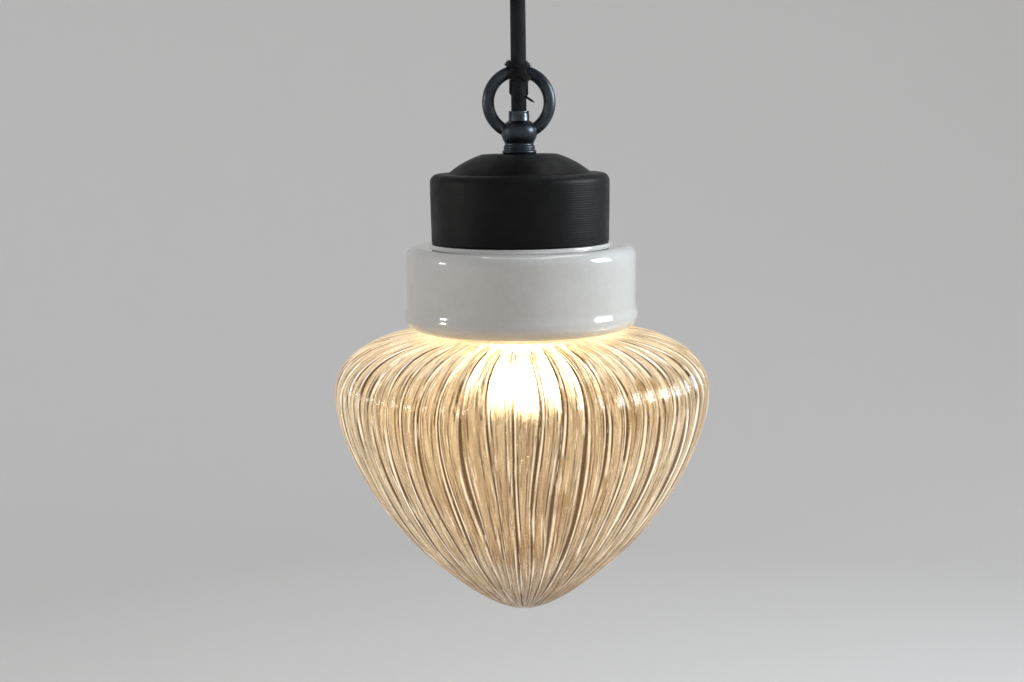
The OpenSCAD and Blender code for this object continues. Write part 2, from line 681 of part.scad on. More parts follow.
// A point of the crest line moved into the glass by depth
function into_glass(i, depth) =
    let(last = len(shade_line) - 1,
        along = shade_line[min(i + 1, last)] - shade_line[max(i - 1, 0)], t = along / norm(along))
    shade_line[i] + depth * [t[1], -t[0]];

// The grooves are shallow at the neck and at the tip
function groove(i) = let(r = shade_line[i][0])
    rib_depth * min(1, i < shade_steps ? max(0, (r - shade_neck_r - gasket_w) / 8) : r / 20);

// Blown shade: ribbed outside with four points to a rib, plain inside with one
module glass_shade() color("wheat", 0.4) {
    rings = len(shade_line) - 1;
    around = len(rib_form) * ribs;
    bores = concat([0, 1], [for (i = [3:inner_step:rings - 1]) i]);
    outer = [for (i = [0:rings - 1], j = [0:around - 1])
        let(p = into_glass(i, groove(i) * rib_form[j % len(rib_form)]), a = 360 * j / around)
            [p[0] * cos(a), p[0] * sin(a), p[1]]];
    inner = [for (i = bores, j = [0:ribs - 1])
        let(p = into_glass(i, glass_wall), a = 360 * j / ribs) [p[0] * cos(a), p[0] * sin(a), p[1]]];
    tip = len(outer);
    first = tip + 1;
    hollow = first + len(inner);
    points = concat(outer, [[0, 0, tip_z]], inner, [[0, 0, tip_z + glass_wall]]);
    outside = [for (i = [0:rings - 2], j = [0:around - 1])
        let(a = i * around + j, b = i * around + (j + 1) % around)
            each [[a, b, b + around], [a, b + around, a + around]]];
    outer_tip = [for (j = [0:around - 1]) let(a = (rings - 1) * around)
        [a + j, a + (j + 1) % around, tip]];
    inside = [for (i = [0:len(bores) - 2], j = [0:ribs - 1])
        let(a = first + i * ribs + j, b = first + i * ribs + (j + 1) % ribs)
            each [[a, b + ribs, b], [a, a + ribs, b + ribs]]];
    inner_tip = [for (j = [0:ribs - 1]) let(a = first + (len(bores) - 1) * ribs)
        [a + (j + 1) % ribs, a + j, hollow]];
    rim = [for (k = [0:ribs - 1])
        let(c = first + k, d = first + (k + 1) % ribs, o = len(rib_form) * k,
            p = (o + 4) % around)
            each [[c, o + 1, o], [c, o + 2, o + 1], [c, d, o + 2], [d, o + 3, o + 2], [d, p, o + 3]]];
    polyhedron(points, concat(outside, outer_tip, inside, inner_tip, rim), convexity = 6);
}

module bulb_tip() color("silver") revolve([[0, bulb_z], [tip_r - 2, bulb_z], [tip_r - 0.4, bulb_z - 0.4],
    [tip_r, bulb_z - 1], [tip_r, bulb_z - tip_t], [0, bulb_z - tip_t]]);

module bulb_insulator() color("black") revolve([[0, insulator_z], [tip_r + 0.6, insulator_z],
    [insulator_r - 0.6, screw_cap_top_z], [0, screw_cap_top_z]]);

module bulb_cap() color("silver") {
    r = screw_cap_r;
    top = screw_cap_top_z;
    w = screw_cap_wall;
    revolve([[insulator_r - 1.5, top], [insulator_r - 0.4, top], [r - 0.5, top - 1.2], [r, top - 2.6],
        [r, screw_cap_z + skirt_h], [r + skirt_flare, screw_cap_z],
        [r + skirt_flare - w, screw_cap_z], [r - w, screw_cap_z + skirt_h], [r - w, top - 2.8],
        [r - w - 0.6, top - 1.6], [insulator_r - 1.5, top - w]]);
}

// Outline of the bulb's glass, from the top of its neck to its lowest point: the neck draws
// out to a round globe, which it meets at the angle meet
function bulb_outline(neck_r, r, meet) =
    let(join = [r * cos(meet), globe_z + r * sin(meet)])
    concat([[neck_r, stem_z]],
        curve([[neck_r, screw_cap_z - 1], [neck_r, screw_cap_z - 3],
            join - 2.5 * [sin(meet), -cos(meet)], join]),
        rest_of(arc(0, globe_z, r, meet, -90, 24)));

// A round globe that draws in to the neck held in the screw cap
module bulb_globe() color("lightyellow", 0.7) {
    meet = 50;
    out = bulb_outline(bulb_neck_r, globe_r, meet);
    in = bulb_outline(bulb_neck_r - globe_wall, globe_r - globe_wall, meet);
    revolve(concat(out, [for (i = [len(in) - 1:-1:0]) in[i]]));
}

module bulb_stem() color("lightyellow", 0.7) {
    flange_r = bulb_neck_r - globe_wall - fit_gap;
    revolve([[0, stem_z], [flange_r, stem_z], [flange_r, stem_z - 1.2], [stem_r + 1.5, stem_z - 2.6],
        [stem_r, stem_z - 6], [stem_r, stem_z - stem_h + 1], [stem_r - 1, stem_z - stem_h],
        [0, stem_z - stem_h]]);
}

module bulb_filament() color("orange") {
    end_z = stem_z - stem_h;
    for (s = [-1, 1]) {
        lead = [[s * 2, 0, end_z - fit_gap], [s * 2, 0, end_z - 1.5], [s * 4, 0, end_z - 4],
            [s * filament_r, 0, end_z - filament_drop]];
        sweep(lead, [for (p = lead) lead_d / 2], 6, [0, 1, 0]);
    }
    translate([0, 0, end_z - filament_drop]) rotate_extrude(angle = 180, $fn = 48)
        translate([filament_r, 0]) circle(d = 1.2 * lead_d, $fn = 16);
}

ceiling_bracket();
ceiling_cup();
cup_screws();
terminal_block();
terminal_clamps();
terminal_screw();
cord_grip();
grip_nut();
grip_screw();
ceiling_cord_end();
ceiling_cores();
grip_bush();
cord();
cord_lashing();
hanging_ring();
threaded_tube();
top_cap();
tube_washer();
tube_nuts();
fixing_strap();
collar_screws();
collar_nuts();
collar_washers();
cord_clamp();
lamp_cores();
porcelain_collar();
holder_body();
holder_shell();
holder_terminals();
holder_screws();
centre_contact();
shade_gasket();
glass_shade();
bulb_tip();
bulb_insulator();
bulb_cap();
bulb_globe();
bulb_stem();
bulb_filament();
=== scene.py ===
"""Looks for the pendant ceiling light: a ribbed clear glass shade in a porcelain collar under a
turned black cap, hung by a lashed textile cord from a ceiling cup.

Lengths in this script are millimetres until a mesh is made: mm() turns them into metres."""

import math
import random

import bpy
import numpy as np
from mathutils import Matrix, Vector


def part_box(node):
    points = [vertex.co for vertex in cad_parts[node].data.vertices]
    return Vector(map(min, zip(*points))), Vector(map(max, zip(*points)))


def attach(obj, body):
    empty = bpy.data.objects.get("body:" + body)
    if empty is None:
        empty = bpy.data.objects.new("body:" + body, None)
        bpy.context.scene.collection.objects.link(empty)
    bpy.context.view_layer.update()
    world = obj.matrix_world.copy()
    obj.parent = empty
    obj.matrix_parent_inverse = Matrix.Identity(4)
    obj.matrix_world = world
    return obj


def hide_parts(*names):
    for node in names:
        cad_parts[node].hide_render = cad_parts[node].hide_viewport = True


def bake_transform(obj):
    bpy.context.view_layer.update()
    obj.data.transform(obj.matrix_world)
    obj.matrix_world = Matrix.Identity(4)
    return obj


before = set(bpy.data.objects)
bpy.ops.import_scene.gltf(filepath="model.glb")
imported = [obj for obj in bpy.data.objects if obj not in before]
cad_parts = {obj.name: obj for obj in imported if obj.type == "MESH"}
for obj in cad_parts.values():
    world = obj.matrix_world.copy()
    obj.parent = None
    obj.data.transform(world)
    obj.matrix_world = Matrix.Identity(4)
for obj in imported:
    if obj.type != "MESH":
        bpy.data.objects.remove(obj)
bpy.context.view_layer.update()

MM = 0.001


def mm(*lengths):
    return tuple(length * MM for length in lengths)


def top_of(node):
    """Highest level of a CAD node, in millimetres."""
    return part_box(node)[1][2] / MM


def foot_of(node):
    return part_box(node)[0][2] / MM


def radius_of(node):
    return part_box(node)[1][0] / MM


# Sizes and levels of the lamp, as its solids have them
PIVOT_Z = foot_of("cord_grip")
RING_R = radius_of("hanging_ring")
RING_BAR = 2.9
RING_Z = top_of("hanging_ring") - RING_R
BAR_Z = RING_Z + RING_R - RING_BAR
CAP_R = radius_of("top_cap")
CAP_Z = top_of("top_cap")
CAP_FOOT_Z = foot_of("top_cap")
LEDGE_Z = CAP_Z - 9
BALL_Z = CAP_Z + 9.6
TUBE_Z = top_of("threaded_tube")
TUBE_END_Z = foot_of("threaded_tube")
BEAD_R = radius_of("porcelain_collar")
COLLAR_R = BEAD_R - 0.8
COLLAR_Z = top_of("porcelain_collar") - 1.3
COLLAR_CEILING_Z = COLLAR_Z - 5.7
COLLAR_BORE = COLLAR_R - 5.5
COLLAR_FOOT_Z = foot_of("porcelain_collar")
SHOULDER_Z = foot_of("shade_gasket") - 0.3
BELLY_R = 91.1
BELLY_Z = SHOULDER_Z - 28.5
TIP_Z = foot_of("glass_shade")
SHELL_Z = top_of("holder_shell")
SHELL_FOOT_Z = foot_of("holder_shell")
SCREW_CAP_Z = top_of("bulb_cap")
SCREW_CAP_FOOT_Z = foot_of("bulb_cap")
GLOBE_R = radius_of("bulb_globe")
GLOBE_Z = foot_of("bulb_globe") + GLOBE_R
GLOBE_NECK_Z = top_of("bulb_globe")
CUP_R = radius_of("ceiling_cup")
CUP_Z = foot_of("ceiling_cup")
GRIP_R = radius_of("cord_grip")
LEVEL = (math.pi / 2, 0, 0)
SHADE_PITCH = 6.0
BULB_PITCH = 3.63
NECK_TOP_Z = top_of("glass_shade")


# ---------------------------------------------------------------- outlines


def arc(x, z, radius, start, end, steps):
    """Points of an arc about (x, z), from angle start to angle end in degrees."""
    turns = [math.radians(start + (end - start) * i / steps) for i in range(steps + 1)]
    return [(x + radius * math.cos(t), z + radius * math.sin(t)) for t in turns]


def curve(a, b, c, d, steps):
    """Points of a cubic curve from a to d with handles b and c."""
    found = []
    for i in range(steps + 1):
        t = i / steps
        s = 1 - t
        weights = (s * s * s, 3 * s * s * t, 3 * s * t * t, t * t * t)
        found.append(tuple(sum(w * p[k] for w, p in zip(weights, (a, b, c, d))) for k in (0, 1)))
    return found


def joined(*runs):
    """Runs of points in one line, with no point twice in a row."""
    line = []
    for run in runs:
        for point in run:
            if not line or math.dist(line[-1], point) > 1e-4:
                line.append(point)
    return line


# ---------------------------------------------------------------- modelling steps


def nothing_selected():
    if bpy.context.mode != "OBJECT":
        bpy.ops.object.mode_set(mode="OBJECT")
    bpy.ops.object.select_all(action="DESELECT")


def named(name):
    """The piece just added, under its own name."""
    piece = bpy.context.object
    piece.name = name
    piece.data.name = name
    return piece


def pick(piece):
    nothing_selected()
    piece.select_set(True)
    bpy.context.view_layer.objects.active = piece


def settle(piece):
    """Puts the piece's place into its mesh."""
    pick(piece)
    bpy.ops.object.transform_apply(location=True, rotation=True, scale=True)
    return piece


def smooth(piece, angle):
    pick(piece)
    bpy.ops.object.shade_smooth_by_angle(angle=math.radians(angle))
    return piece


def modify(piece, kind, **settings):
    """Adds a modifier, sets it and applies it."""
    pick(piece)
    modifier = piece.modifiers.new(kind.lower(), kind)
    for key, value in settings.items():
        setattr(modifier, key, value)
    bpy.ops.object.modifier_apply(modifier=modifier.name)
    return piece


def tidy_mesh(piece, gap=1e-7, inside=False):
    """Closes seams and poles and points the faces outwards, or inwards for a room."""
    pick(piece)
    bpy.ops.object.mode_set(mode="EDIT")
    bpy.ops.mesh.select_all(action="SELECT")
    bpy.ops.mesh.remove_doubles(threshold=gap)
    bpy.ops.mesh.normals_make_consistent(inside=inside)
    bpy.ops.object.mode_set(mode="OBJECT")
    return piece


def turned(name, outline, steps, angle=35, inside=False):
    """A piece turned about the lamp's axis: a point is drawn out along the outline and spun."""
    nothing_selected()
    bpy.ops.mesh.primitive_plane_add(size=MM)
    piece = named(name)
    bpy.ops.object.mode_set(mode="EDIT")
    bpy.ops.mesh.merge(type="CENTER")
    bpy.ops.transform.translate(value=mm(outline[0][0], 0, outline[0][1]))
    for here, ahead in zip(outline, outline[1:]):
        step = mm(ahead[0] - here[0], 0, ahead[1] - here[1])
        bpy.ops.mesh.extrude_vertices_move(TRANSFORM_OT_translate={"value": step})
    bpy.ops.mesh.select_all(action="SELECT")
    bpy.ops.mesh.spin(steps=steps, angle=2 * math.pi, center=(0, 0, 0), axis=(0, 0, 1))
    bpy.ops.object.mode_set(mode="OBJECT")
    return smooth(tidy_mesh(piece, 2e-6, inside), angle)


def combine(piece, other, operation):
    """Adds another solid to the piece or takes it away, and deletes the other."""
    modify(piece, "BOOLEAN", operation=operation, solver="EXACT", object=other)
    bpy.data.objects.remove(other, do_unlink=True)
    return piece


def drilled(piece, radius, depth, place, turn=(0, 0, 0), sides=32):
    """The piece with a round hole, which runs along Z unless it is turned."""
    nothing_selected()
    bpy.ops.mesh.primitive_cylinder_add(vertices=sides, radius=radius * MM, depth=depth * MM,
                                        location=mm(*place), rotation=turn)
    return combine(piece, settle(named("hole")), "DIFFERENCE")


def mesh_piece(name, points, faces, angle):
    """A piece from points in millimetres and faces."""
    mesh = bpy.data.meshes.new(name)
    mesh.from_pydata([tuple(p) for p in np.asarray(points) * MM], [], faces)
    piece = bpy.data.objects.new(name, mesh)
    bpy.context.scene.collection.objects.link(piece)
    return smooth(piece, angle)


# ---------------------------------------------------------------- swept lines


def unit(rows):
    """Each row brought to length 1."""
    return rows / np.linalg.norm(rows, axis=1)[:, None]


def lengths_along(line):
    """How far along a line each of its points lies."""
    return np.concatenate([[0], np.cumsum(np.linalg.norm(np.diff(line, axis=0), axis=1))])


def points_at(line, places):
    """The points of a line at given lengths along it."""
    far = lengths_along(line)
    return np.stack([np.interp(places, far, line[:, k]) for k in range(3)], axis=1)


def smooth_line(points, step):
    """Points about a step apart along a smooth line through the given points."""
    p = np.array(points, float)
    p = np.vstack([2 * p[0] - p[1], p, 2 * p[-1] - p[-2]])
    fine = []
    for a, b, c, d in zip(p, p[1:], p[2:], p[3:]):
        for t in np.linspace(0, 1, 24, endpoint=False):
            fine.append(0.5 * (2 * b + (c - a) * t + (2 * a - 5 * b + 4 * c - d) * t * t
                               + (3 * b - a - 3 * c + d) * t ** 3))
    fine = np.array(fine + [p[-2]])
    whole = lengths_along(fine)[-1]
    return points_at(fine, np.linspace(0, whole, max(2, int(round(whole / step)) + 1)))


def even_loop(line, step):
    """A closed line with its points a step apart."""
    ring = np.vstack([line, line[:1]])
    whole = lengths_along(ring)[-1]
    return points_at(ring, np.linspace(0, whole, int(whole / step) + 1)[:-1])


def circle(count, shift=0.0):
    """Cosine and sine of evenly spaced angles round a circle."""
    turns = [2 * math.pi * (i + shift) / count for i in range(count)]
    return [(math.cos(t), math.sin(t)) for t in turns]


def frames_along(line, closed=False):
    """Three directions at each point of a line: two across it, which turn as little as they can,
    and the one ahead."""
    ahead = np.roll(line, -1, axis=0) - np.roll(line, 1, axis=0) if closed else np.gradient(line, axis=0)
    ahead = unit(ahead)
    side = np.cross(ahead[0], (1.0, 0.02, 0.01))
    sides = []
    for t in ahead:
        side = side - t * (side @ t)
        side /= np.linalg.norm(side)
        sides.append(side)
    return np.array(sides), np.cross(ahead, sides), ahead


def tube_faces(rings, sides, closed=False):
    faces = []
    for i in range(rings if closed else rings - 1):
        a, b = i * sides, (i + 1) % rings * sides
        for j in range(sides):
            k = (j + 1) % sides
            faces.append((a + j, a + k, b + k, b + j))
    if not closed:
        faces.append(tuple(reversed(range(sides))))
        faces.append(tuple((rings - 1) * sides + j for j in range(sides)))
    return faces


def laid_line(line, radius, lay, sides=12, closed=False, turn=0.0, round_ends=True):
    """Points and faces of a laid line such as twine: its section has a bulge for each of its
    plies and turns along the line once in a lay."""
    u, v, _ = frames_along(line, closed)
    far = lengths_along(line)
    points = []
    for i, centre in enumerate(line):
        near_end = 1.0 if closed else min(1.0, (min(far[i], far[-1] - far[i]) + 0.25) / 0.6)
        for j in range(sides):
            a = 2 * math.pi * j / sides
            bulge = 0.88 + 0.14 * math.cos(PLIES * (a - 2 * math.pi * far[i] / lay - turn))
            r = radius * bulge * (near_end ** 0.5 if round_ends else 1.0)
            points.append(centre + r * (math.cos(a) * u[i] + math.sin(a) * v[i]))
    return points, tube_faces(len(line), sides, closed)


class Heap:
    """Points and faces of many strands that make one piece."""

    def __init__(self):
        self.points = []
        self.faces = []

    def add(self, points, faces):
        start = len(self.points)
        self.points.extend(points)
        self.faces.extend(tuple(start + i for i in face) for face in faces)

    def piece(self, name, angle=60):
        return mesh_piece(name, self.points, self.faces, angle)


# ---------------------------------------------------------------- material steps


def add_node(tree, kind, inputs=None, **settings):
    """A shader node: settings are its properties, inputs are values or sockets to link from."""
    node = tree.nodes.new("ShaderNode" + kind)
    for key, value in settings.items():
        setattr(node, key, value)
    for key, value in (inputs or {}).items():
        if isinstance(value, bpy.types.NodeSocket):
            tree.links.new(value, node.inputs[key])
        else:
            node.inputs[key].default_value = value
    return node


def number(tree, operation, a, b=0.0, c=0.0):
    return add_node(tree, "Math", {0: a, 1: b, 2: c}, operation=operation).outputs[0]


def product(tree, *values):
    found = values[0]
    for value in values[1:]:
        found = number(tree, "MULTIPLY", found, value)
    return found


def split(tree, vector):
    return add_node(tree, "SeparateXYZ", {0: vector}).outputs


def vector_of(tree, x, y=0.0):
    return add_node(tree, "CombineXYZ", {0: x, 1: y}).outputs[0]


def ramp(tree, value, stops):
    """Colour ramp from a list of (place, colour or grey level)."""
    node = add_node(tree, "ValToRGB", {"Fac": value})
    elements = node.color_ramp.elements
    while len(elements) < len(stops):
        elements.new(0.5)
    for element, (place, colour) in zip(elements, stops):
        element.position = place
        element.color = (colour, colour, colour, 1) if isinstance(colour, float) else (*colour, 1)
    return node.outputs["Color"]


def blended(tree, value, a, b, blend="MIX"):
    """Colour a where the value is 0 and b where it is 1, or the two multiplied."""
    node = add_node(tree, "Mix", data_type="RGBA", blend_type=blend)
    for socket, given in ((node.inputs[0], value), (node.inputs[6], a), (node.inputs[7], b)):
        if isinstance(given, bpy.types.NodeSocket):
            tree.links.new(given, socket)
        else:
            socket.default_value = (*given, 1) if isinstance(given, tuple) else given
    return node.outputs[2]


def remap(tree, value, low, high, to_low, to_high):
    return add_node(tree, "MapRange", {"Value": value, "From Min": low, "From Max": high,
                                       "To Min": to_low, "To Max": to_high}).outputs[0]


def noise(tree, vector, scale, detail, roughness=0.5):
    return add_node(tree, "TexNoise", {"Vector": vector, "Scale": scale, "Detail": detail,
                                       "Roughness": roughness}).outputs[0]


def bumped(tree, height, distance, strength, **under):
    """Normals of a relief, over the relief given as Normal if there is one."""
    return add_node(tree, "Bump", {"Height": height, "Distance": distance, "Strength": strength,
                                   **under}).outputs[0]


def new_group(name, inputs, outputs):
    """An empty shader group with its named sockets, and its input and output nodes."""
    group = bpy.data.node_groups.new(name, "ShaderNodeTree")
    for socket, kind, default in inputs:
        made = group.interface.new_socket(socket, in_out="INPUT", socket_type="NodeSocket" + kind)
        if default is not None:
            made.default_value = default
    for socket, kind in outputs:
        group.interface.new_socket(socket, in_out="OUTPUT", socket_type="NodeSocket" + kind)
    return group, group.nodes.new("NodeGroupInput").outputs, group.nodes.new("NodeGroupOutput").inputs


def use_group(tree, group, **inputs):
    node = tree.nodes.new("ShaderNodeGroup")
    node.node_tree = group
    for key, value in inputs.items():
        socket = node.inputs[key.replace("_", " ").capitalize()]
        if isinstance(value, bpy.types.NodeSocket):
            tree.links.new(value, socket)
        else:
            socket.default_value = value
    return node.outputs


def make_mottle():
    """Cloudy change of colour and gloss over a surface, with fine specks."""
    group, given, out = new_group(
        "mottle", [("Vector", "Vector", None), ("Scale", "Float", 60.0), ("Dark", "Color", (0, 0, 0, 1)),
                   ("Light", "Color", (1, 1, 1, 1)), ("Gloss from", "Float", 0.3),
                   ("Gloss to", "Float", 0.5)],
        [("Color", "Color"), ("Roughness", "Float")])
    clouds = noise(group, given["Vector"], given["Scale"], 4.0, 0.6)
    specks = noise(group, given["Vector"], product(group, given["Scale"], 22.0), 2.0)
    both = number(group, "MULTIPLY_ADD", number(group, "SUBTRACT", specks, 0.5), 0.35, clouds)
    mask = remap(group, both, 0.3, 0.7, 0.0, 1.0)
    group.links.new(blended(group, mask, given["Dark"], given["Light"]), out["Color"])
    smear = noise(group, given["Vector"], product(group, given["Scale"], 2.7), 3.0)
    group.links.new(remap(group, smear, 0.3, 0.7, given["Gloss from"], given["Gloss to"]), out["Roughness"])
    return group


def make_turning():
    """Fine grooves that a lathe tool leaves round a piece, uneven from one to the next."""
    group, given, out = new_group(
        "turning_lines", [("Vector", "Vector", None), ("Pitch", "Float", 0.0006)], [("Height", "Float")])
    x, y, z = split(group, given["Vector"])
    radius = number(group, "SQRT", number(group, "ADD", product(group, x, x), product(group, y, y)))
    run = number(group, "DIVIDE", number(group, "ADD", z, radius), given["Pitch"])
    wave = number(group, "MULTIPLY_ADD", number(group, "SINE", product(group, run, 2 * math.pi)), 0.3, 0.5)
    uneven = noise(group, vector_of(group, product(group, run, 0.37)), 1.0, 4.0, 0.7)
    group.links.new(number(group, "MULTIPLY_ADD", uneven, 1.2, wave), out["Height"])
    return group


def make_edge_wear():
    """Mask of worn edges: bright where the surface turns sharply outwards, broken up by noise."""
    group, given, out = new_group(
        "edge_wear", [("Vector", "Vector", None), ("Scale", "Float", 300.0), ("Reach", "Float", 0.5)],
        [("Mask", "Float")])
    point = group.nodes.new("ShaderNodeNewGeometry").outputs["Pointiness"]
    edge = remap(group, point, 0.5, 0.6, 0.0, 1.0)
    grain = noise(group, given["Vector"], given["Scale"], 4.0, 0.7)
    broken = number(group, "GREATER_THAN", product(group, edge, grain),
                    number(group, "SUBTRACT", 0.6, given["Reach"]))
    group.links.new(broken, out["Mask"])
    return group


MOTTLE = make_mottle()
TURNING = make_turning()
EDGE_WEAR = make_edge_wear()


def new_material(name, **plain):
    """A material with a Principled shader; plain values are set on the shader's own sockets.
    Gives the material, its node tree, the shader and object coordinates."""
    material = bpy.data.materials.new(name)
    material.use_nodes = True
    tree = material.node_tree
    shader = next(n for n in tree.nodes if n.type == "BSDF_PRINCIPLED")
    for key, value in plain.items():
        shader.inputs[key.replace("_", " ")].default_value = \
            (*value, 1) if isinstance(value, tuple) else value
    place = tree.nodes.new("ShaderNodeTexCoord").outputs["Object"]
    return material, tree, shader, place


def feed(tree, shader, **links):
    for key, socket in links.items():
        tree.links.new(socket, shader.inputs[key.replace("_", " ")])


def yarn_material(name, dark, light, fuzz_scale, sheen):
    """Spun yarn: hairs that vary in colour, with a soft sheen."""
    material, tree, shader, place = new_material(
        name, Roughness=0.9, Sheen_Weight=sheen, Sheen_Roughness=0.45, Specular_IOR_Level=0.2)
    hairs = noise(tree, place, fuzz_scale, 4.0, 0.75)
    clouds = noise(tree, place, fuzz_scale / 14, 2.0)
    mask = number(tree, "MULTIPLY_ADD", clouds, 0.5, product(tree, hairs, 0.7))
    feed(tree, shader, Base_Color=ramp(tree, mask, [(0.42, dark), (0.75, light)]),
         Normal=bumped(tree, hairs, 0.00012, 0.8))
    return material


def mottled(tree, place, scale, dark, light, rough):
    """Clouded colour and roughness, from one value to another."""
    looks = use_group(tree, MOTTLE, vector=place, scale=scale, dark=(*dark, 1), light=(*light, 1),
                      gloss_from=rough[0], gloss_to=rough[1])
    return looks["Color"], looks["Roughness"]


def metal_material(name, dark, light, rough, grain=0.00001, scale=90.0, worn=None, reach=0.3):
    """Metal with clouds of tarnish and a fine grain, worn at its edges if that colour is given."""
    material, tree, shader, place = new_material(name, Metallic=1.0)
    colour, gloss = mottled(tree, place, scale, dark, light, rough)
    if worn:
        mask = use_group(tree, EDGE_WEAR, vector=place, reach=reach)["Mask"]
        colour = blended(tree, mask, colour, worn)
    feed(tree, shader, Base_Color=colour, Roughness=gloss,
         Normal=bumped(tree, noise(tree, place, 2600.0, 3.0, 0.6), grain, 0.6))
    return material


def moulded_material(name, dark, light, rough, grain=0.00002, grain_scale=1800.0, **plain):
    """Moulded plastic, rubber or fibre, with a fine skin and a slight change of tone."""
    material, tree, shader, place = new_material(name, Coat_Roughness=0.08, **plain)
    colour, gloss = mottled(tree, place, 70.0, dark, light, rough)
    skin = noise(tree, place, grain_scale, 3.0, 0.6)
    feed(tree, shader, Base_Color=colour, Roughness=gloss, Normal=bumped(tree, skin, grain, 0.7))
    return material


# ---------------------------------------------------------------- camera

# The camera stands in front, higher than the glass, and looks a little down
CAMERA_PLACE = (-4.6, -684.6, -110)
CAMERA_DOWN = 8.91
CAMERA_ROLL = -0.7
LENS = 50
SENSOR_WIDTH = 36


def set_camera():
    bpy.ops.object.camera_add(location=mm(*CAMERA_PLACE))
    camera = bpy.context.object
    camera.data.lens = LENS
    camera.data.sensor_width = SENSOR_WIDTH
    camera.data.clip_start = 0.01
    tilt = Matrix.Rotation(math.radians(90 - CAMERA_DOWN), 3, "X")
    roll = Matrix.Rotation(math.radians(CAMERA_ROLL), 3, "Z")
    camera.rotation_euler = (tilt @ roll).to_euler()
    bpy.context.scene.camera = camera


nothing_selected()
set_camera()


# ---------------------------------------------------------------- cord and lashing

CORD_ROUTE = [
    (0, 0, -48), (0, 0, -51), (0, -0.2, -54), (0, -0.75, -58), (0, -1.55, -62),
    (0, -2.5, -66), (0, -3.5, -70), (0, -4.5, -74), (0, -5.4, -78), (0, -6.05, -82),
    (0, -6.45, -85.5), (0, -6.55, -88), (0, -6.35, -90.5), (0, -5.6, -93.5),
    (0, -4.1, -96.5), (0, -2, -99.5), (0, -0.75, -102), (0, -0.15, -104.5), (0, 0, -107),
    (0, 0, -114), (0, 0, -128), (0, 0, -144), (0, 0, -160)]
CORD_D = 7.2
CORD_FRONT = -6.45
CORE_R = 3.1
STRAND_R = 3.36
STRAND_RISE = 0.15
STRAND_HALF = (0.47, 0.2)
STRANDS = 16
STRAND_LEAD = 21.0
SLANT_R = 3.2
FUZZ = 420
FUZZ_R = 3.3
OPEN_SHARE = 0.53
TWINE_R = 0.55
PLIES = 3
CROSS_SLANT = math.radians(38)
CROSS_DROP = 0.3
CROSS_GAP = 1.02
WHIPPING_R = 4.05
WHIPPING_TURNS = 5
WHIPPING_PITCH = 1.12
WHIPPING_POINTS = 52
WHIPPING_START = 0.6
WHIPPING_DROP = 4.7
TAIL = [(2.2, -3.4, -99.2), (3.4, -4.5, -100.2), (4.4, -5.1, -100.9), (5.4, -5.4, -101.6),
        (6.5, -5.45, -102.3)]


def braid(name, line):
    """A textile cord along a line: strands that wind both ways, two over and two under, round a
    core, with loose fibres standing off its lower, open stretch."""
    u, v, ahead = frames_along(line)
    far = lengths_along(line)
    heap = Heap()

    def out(i, angle):
        return math.cos(angle) * u[i] + math.sin(angle) * v[i]

    heap.add([line[i] + CORE_R * (c * u[i] + s * v[i]) for i in range(len(line)) for c, s in circle(20)],
             tube_faces(len(line), 20))
    slant = math.atan2(2 * math.pi * SLANT_R, STRAND_LEAD)
    section = [(STRAND_HALF[0] * c, STRAND_HALF[1] * s) for c, s in circle(6, 0.5)]
    for way in (-1, 1):
        for k in range(STRANDS):
            points = []
            for i, centre in enumerate(line):
                turn = 2 * math.pi * far[i] / STRAND_LEAD
                angle = 2 * math.pi * k / STRANDS + way * turn
                wave = way * math.cos(math.pi * k + way * STRANDS * turn / 2 - math.pi / 4)
                away = out(i, angle)
                across = math.cos(slant) * out(i, angle + math.pi / 2) - way * math.sin(slant) * ahead[i]
                middle = centre + (STRAND_R + STRAND_RISE * wave) * away
                points += [middle + wide * across + thick * away for wide, thick in section]
            heap.add(points, tube_faces(len(line), 6))
    chance = random.Random(4)
    for _ in range(FUZZ):
        i = chance.randrange(12, int(len(line) * OPEN_SHARE))
        angle = chance.uniform(0, 2 * math.pi)
        away = out(i, angle)
        side = out(i, angle + math.pi / 2)
        lean = chance.uniform(-1, 1) * ahead[i] + chance.uniform(-1, 1) * side
        reach = chance.uniform(0.2, 0.5)
        start = line[i] + FUZZ_R * away
        path = (start, start + 0.5 * reach * away + 0.5 * lean, start + reach * away + 1.1 * lean)
        heap.add([at + r * (c * side + s * ahead[i]) for at, r in zip(path, (0.035, 0.03, 0.015))
                  for c, s in circle(3)], tube_faces(3, 3))
    return heap.piece(name)


def twine_loop(way, layer):
    """One tight turn of the lashing across the ring's bar and the cord, in its slanting plane: it
    runs straight between the two and lies on both. Gives the line and its sideways direction."""
    low, high = math.sin(CROSS_SLANT), math.cos(CROSS_SLANT)
    sides = 72
    hull = []
    for a, b in circle(sides):
        cord = CORD_FRONT * b + math.hypot(CORD_D / 2 / high * a, CORD_D / 2 * b)
        bar = -way * CROSS_DROP / low * a + math.hypot((RING_BAR + 0.1) / low * a, (RING_BAR + 0.05) * b)
        hull.append(max(cord, bar) + TWINE_R + layer)
    line = []
    for i, (a, b) in enumerate(circle(sides)):
        bend = (hull[(i + 1) % sides] - hull[i - 1]) / (4 * math.pi / sides)
        x, y = hull[i] * a - bend * b, hull[i] * b + bend * a
        line.append((x * high, y, BAR_Z - CROSS_DROP - way * x * low))
    return np.array(line), np.array([way * low, 0, high])


def cord_y(z):
    heights = [p[2] for p in CORD_ROUTE][::-1]
    return float(np.interp(z, heights, [p[1] for p in CORD_ROUTE][::-1]))


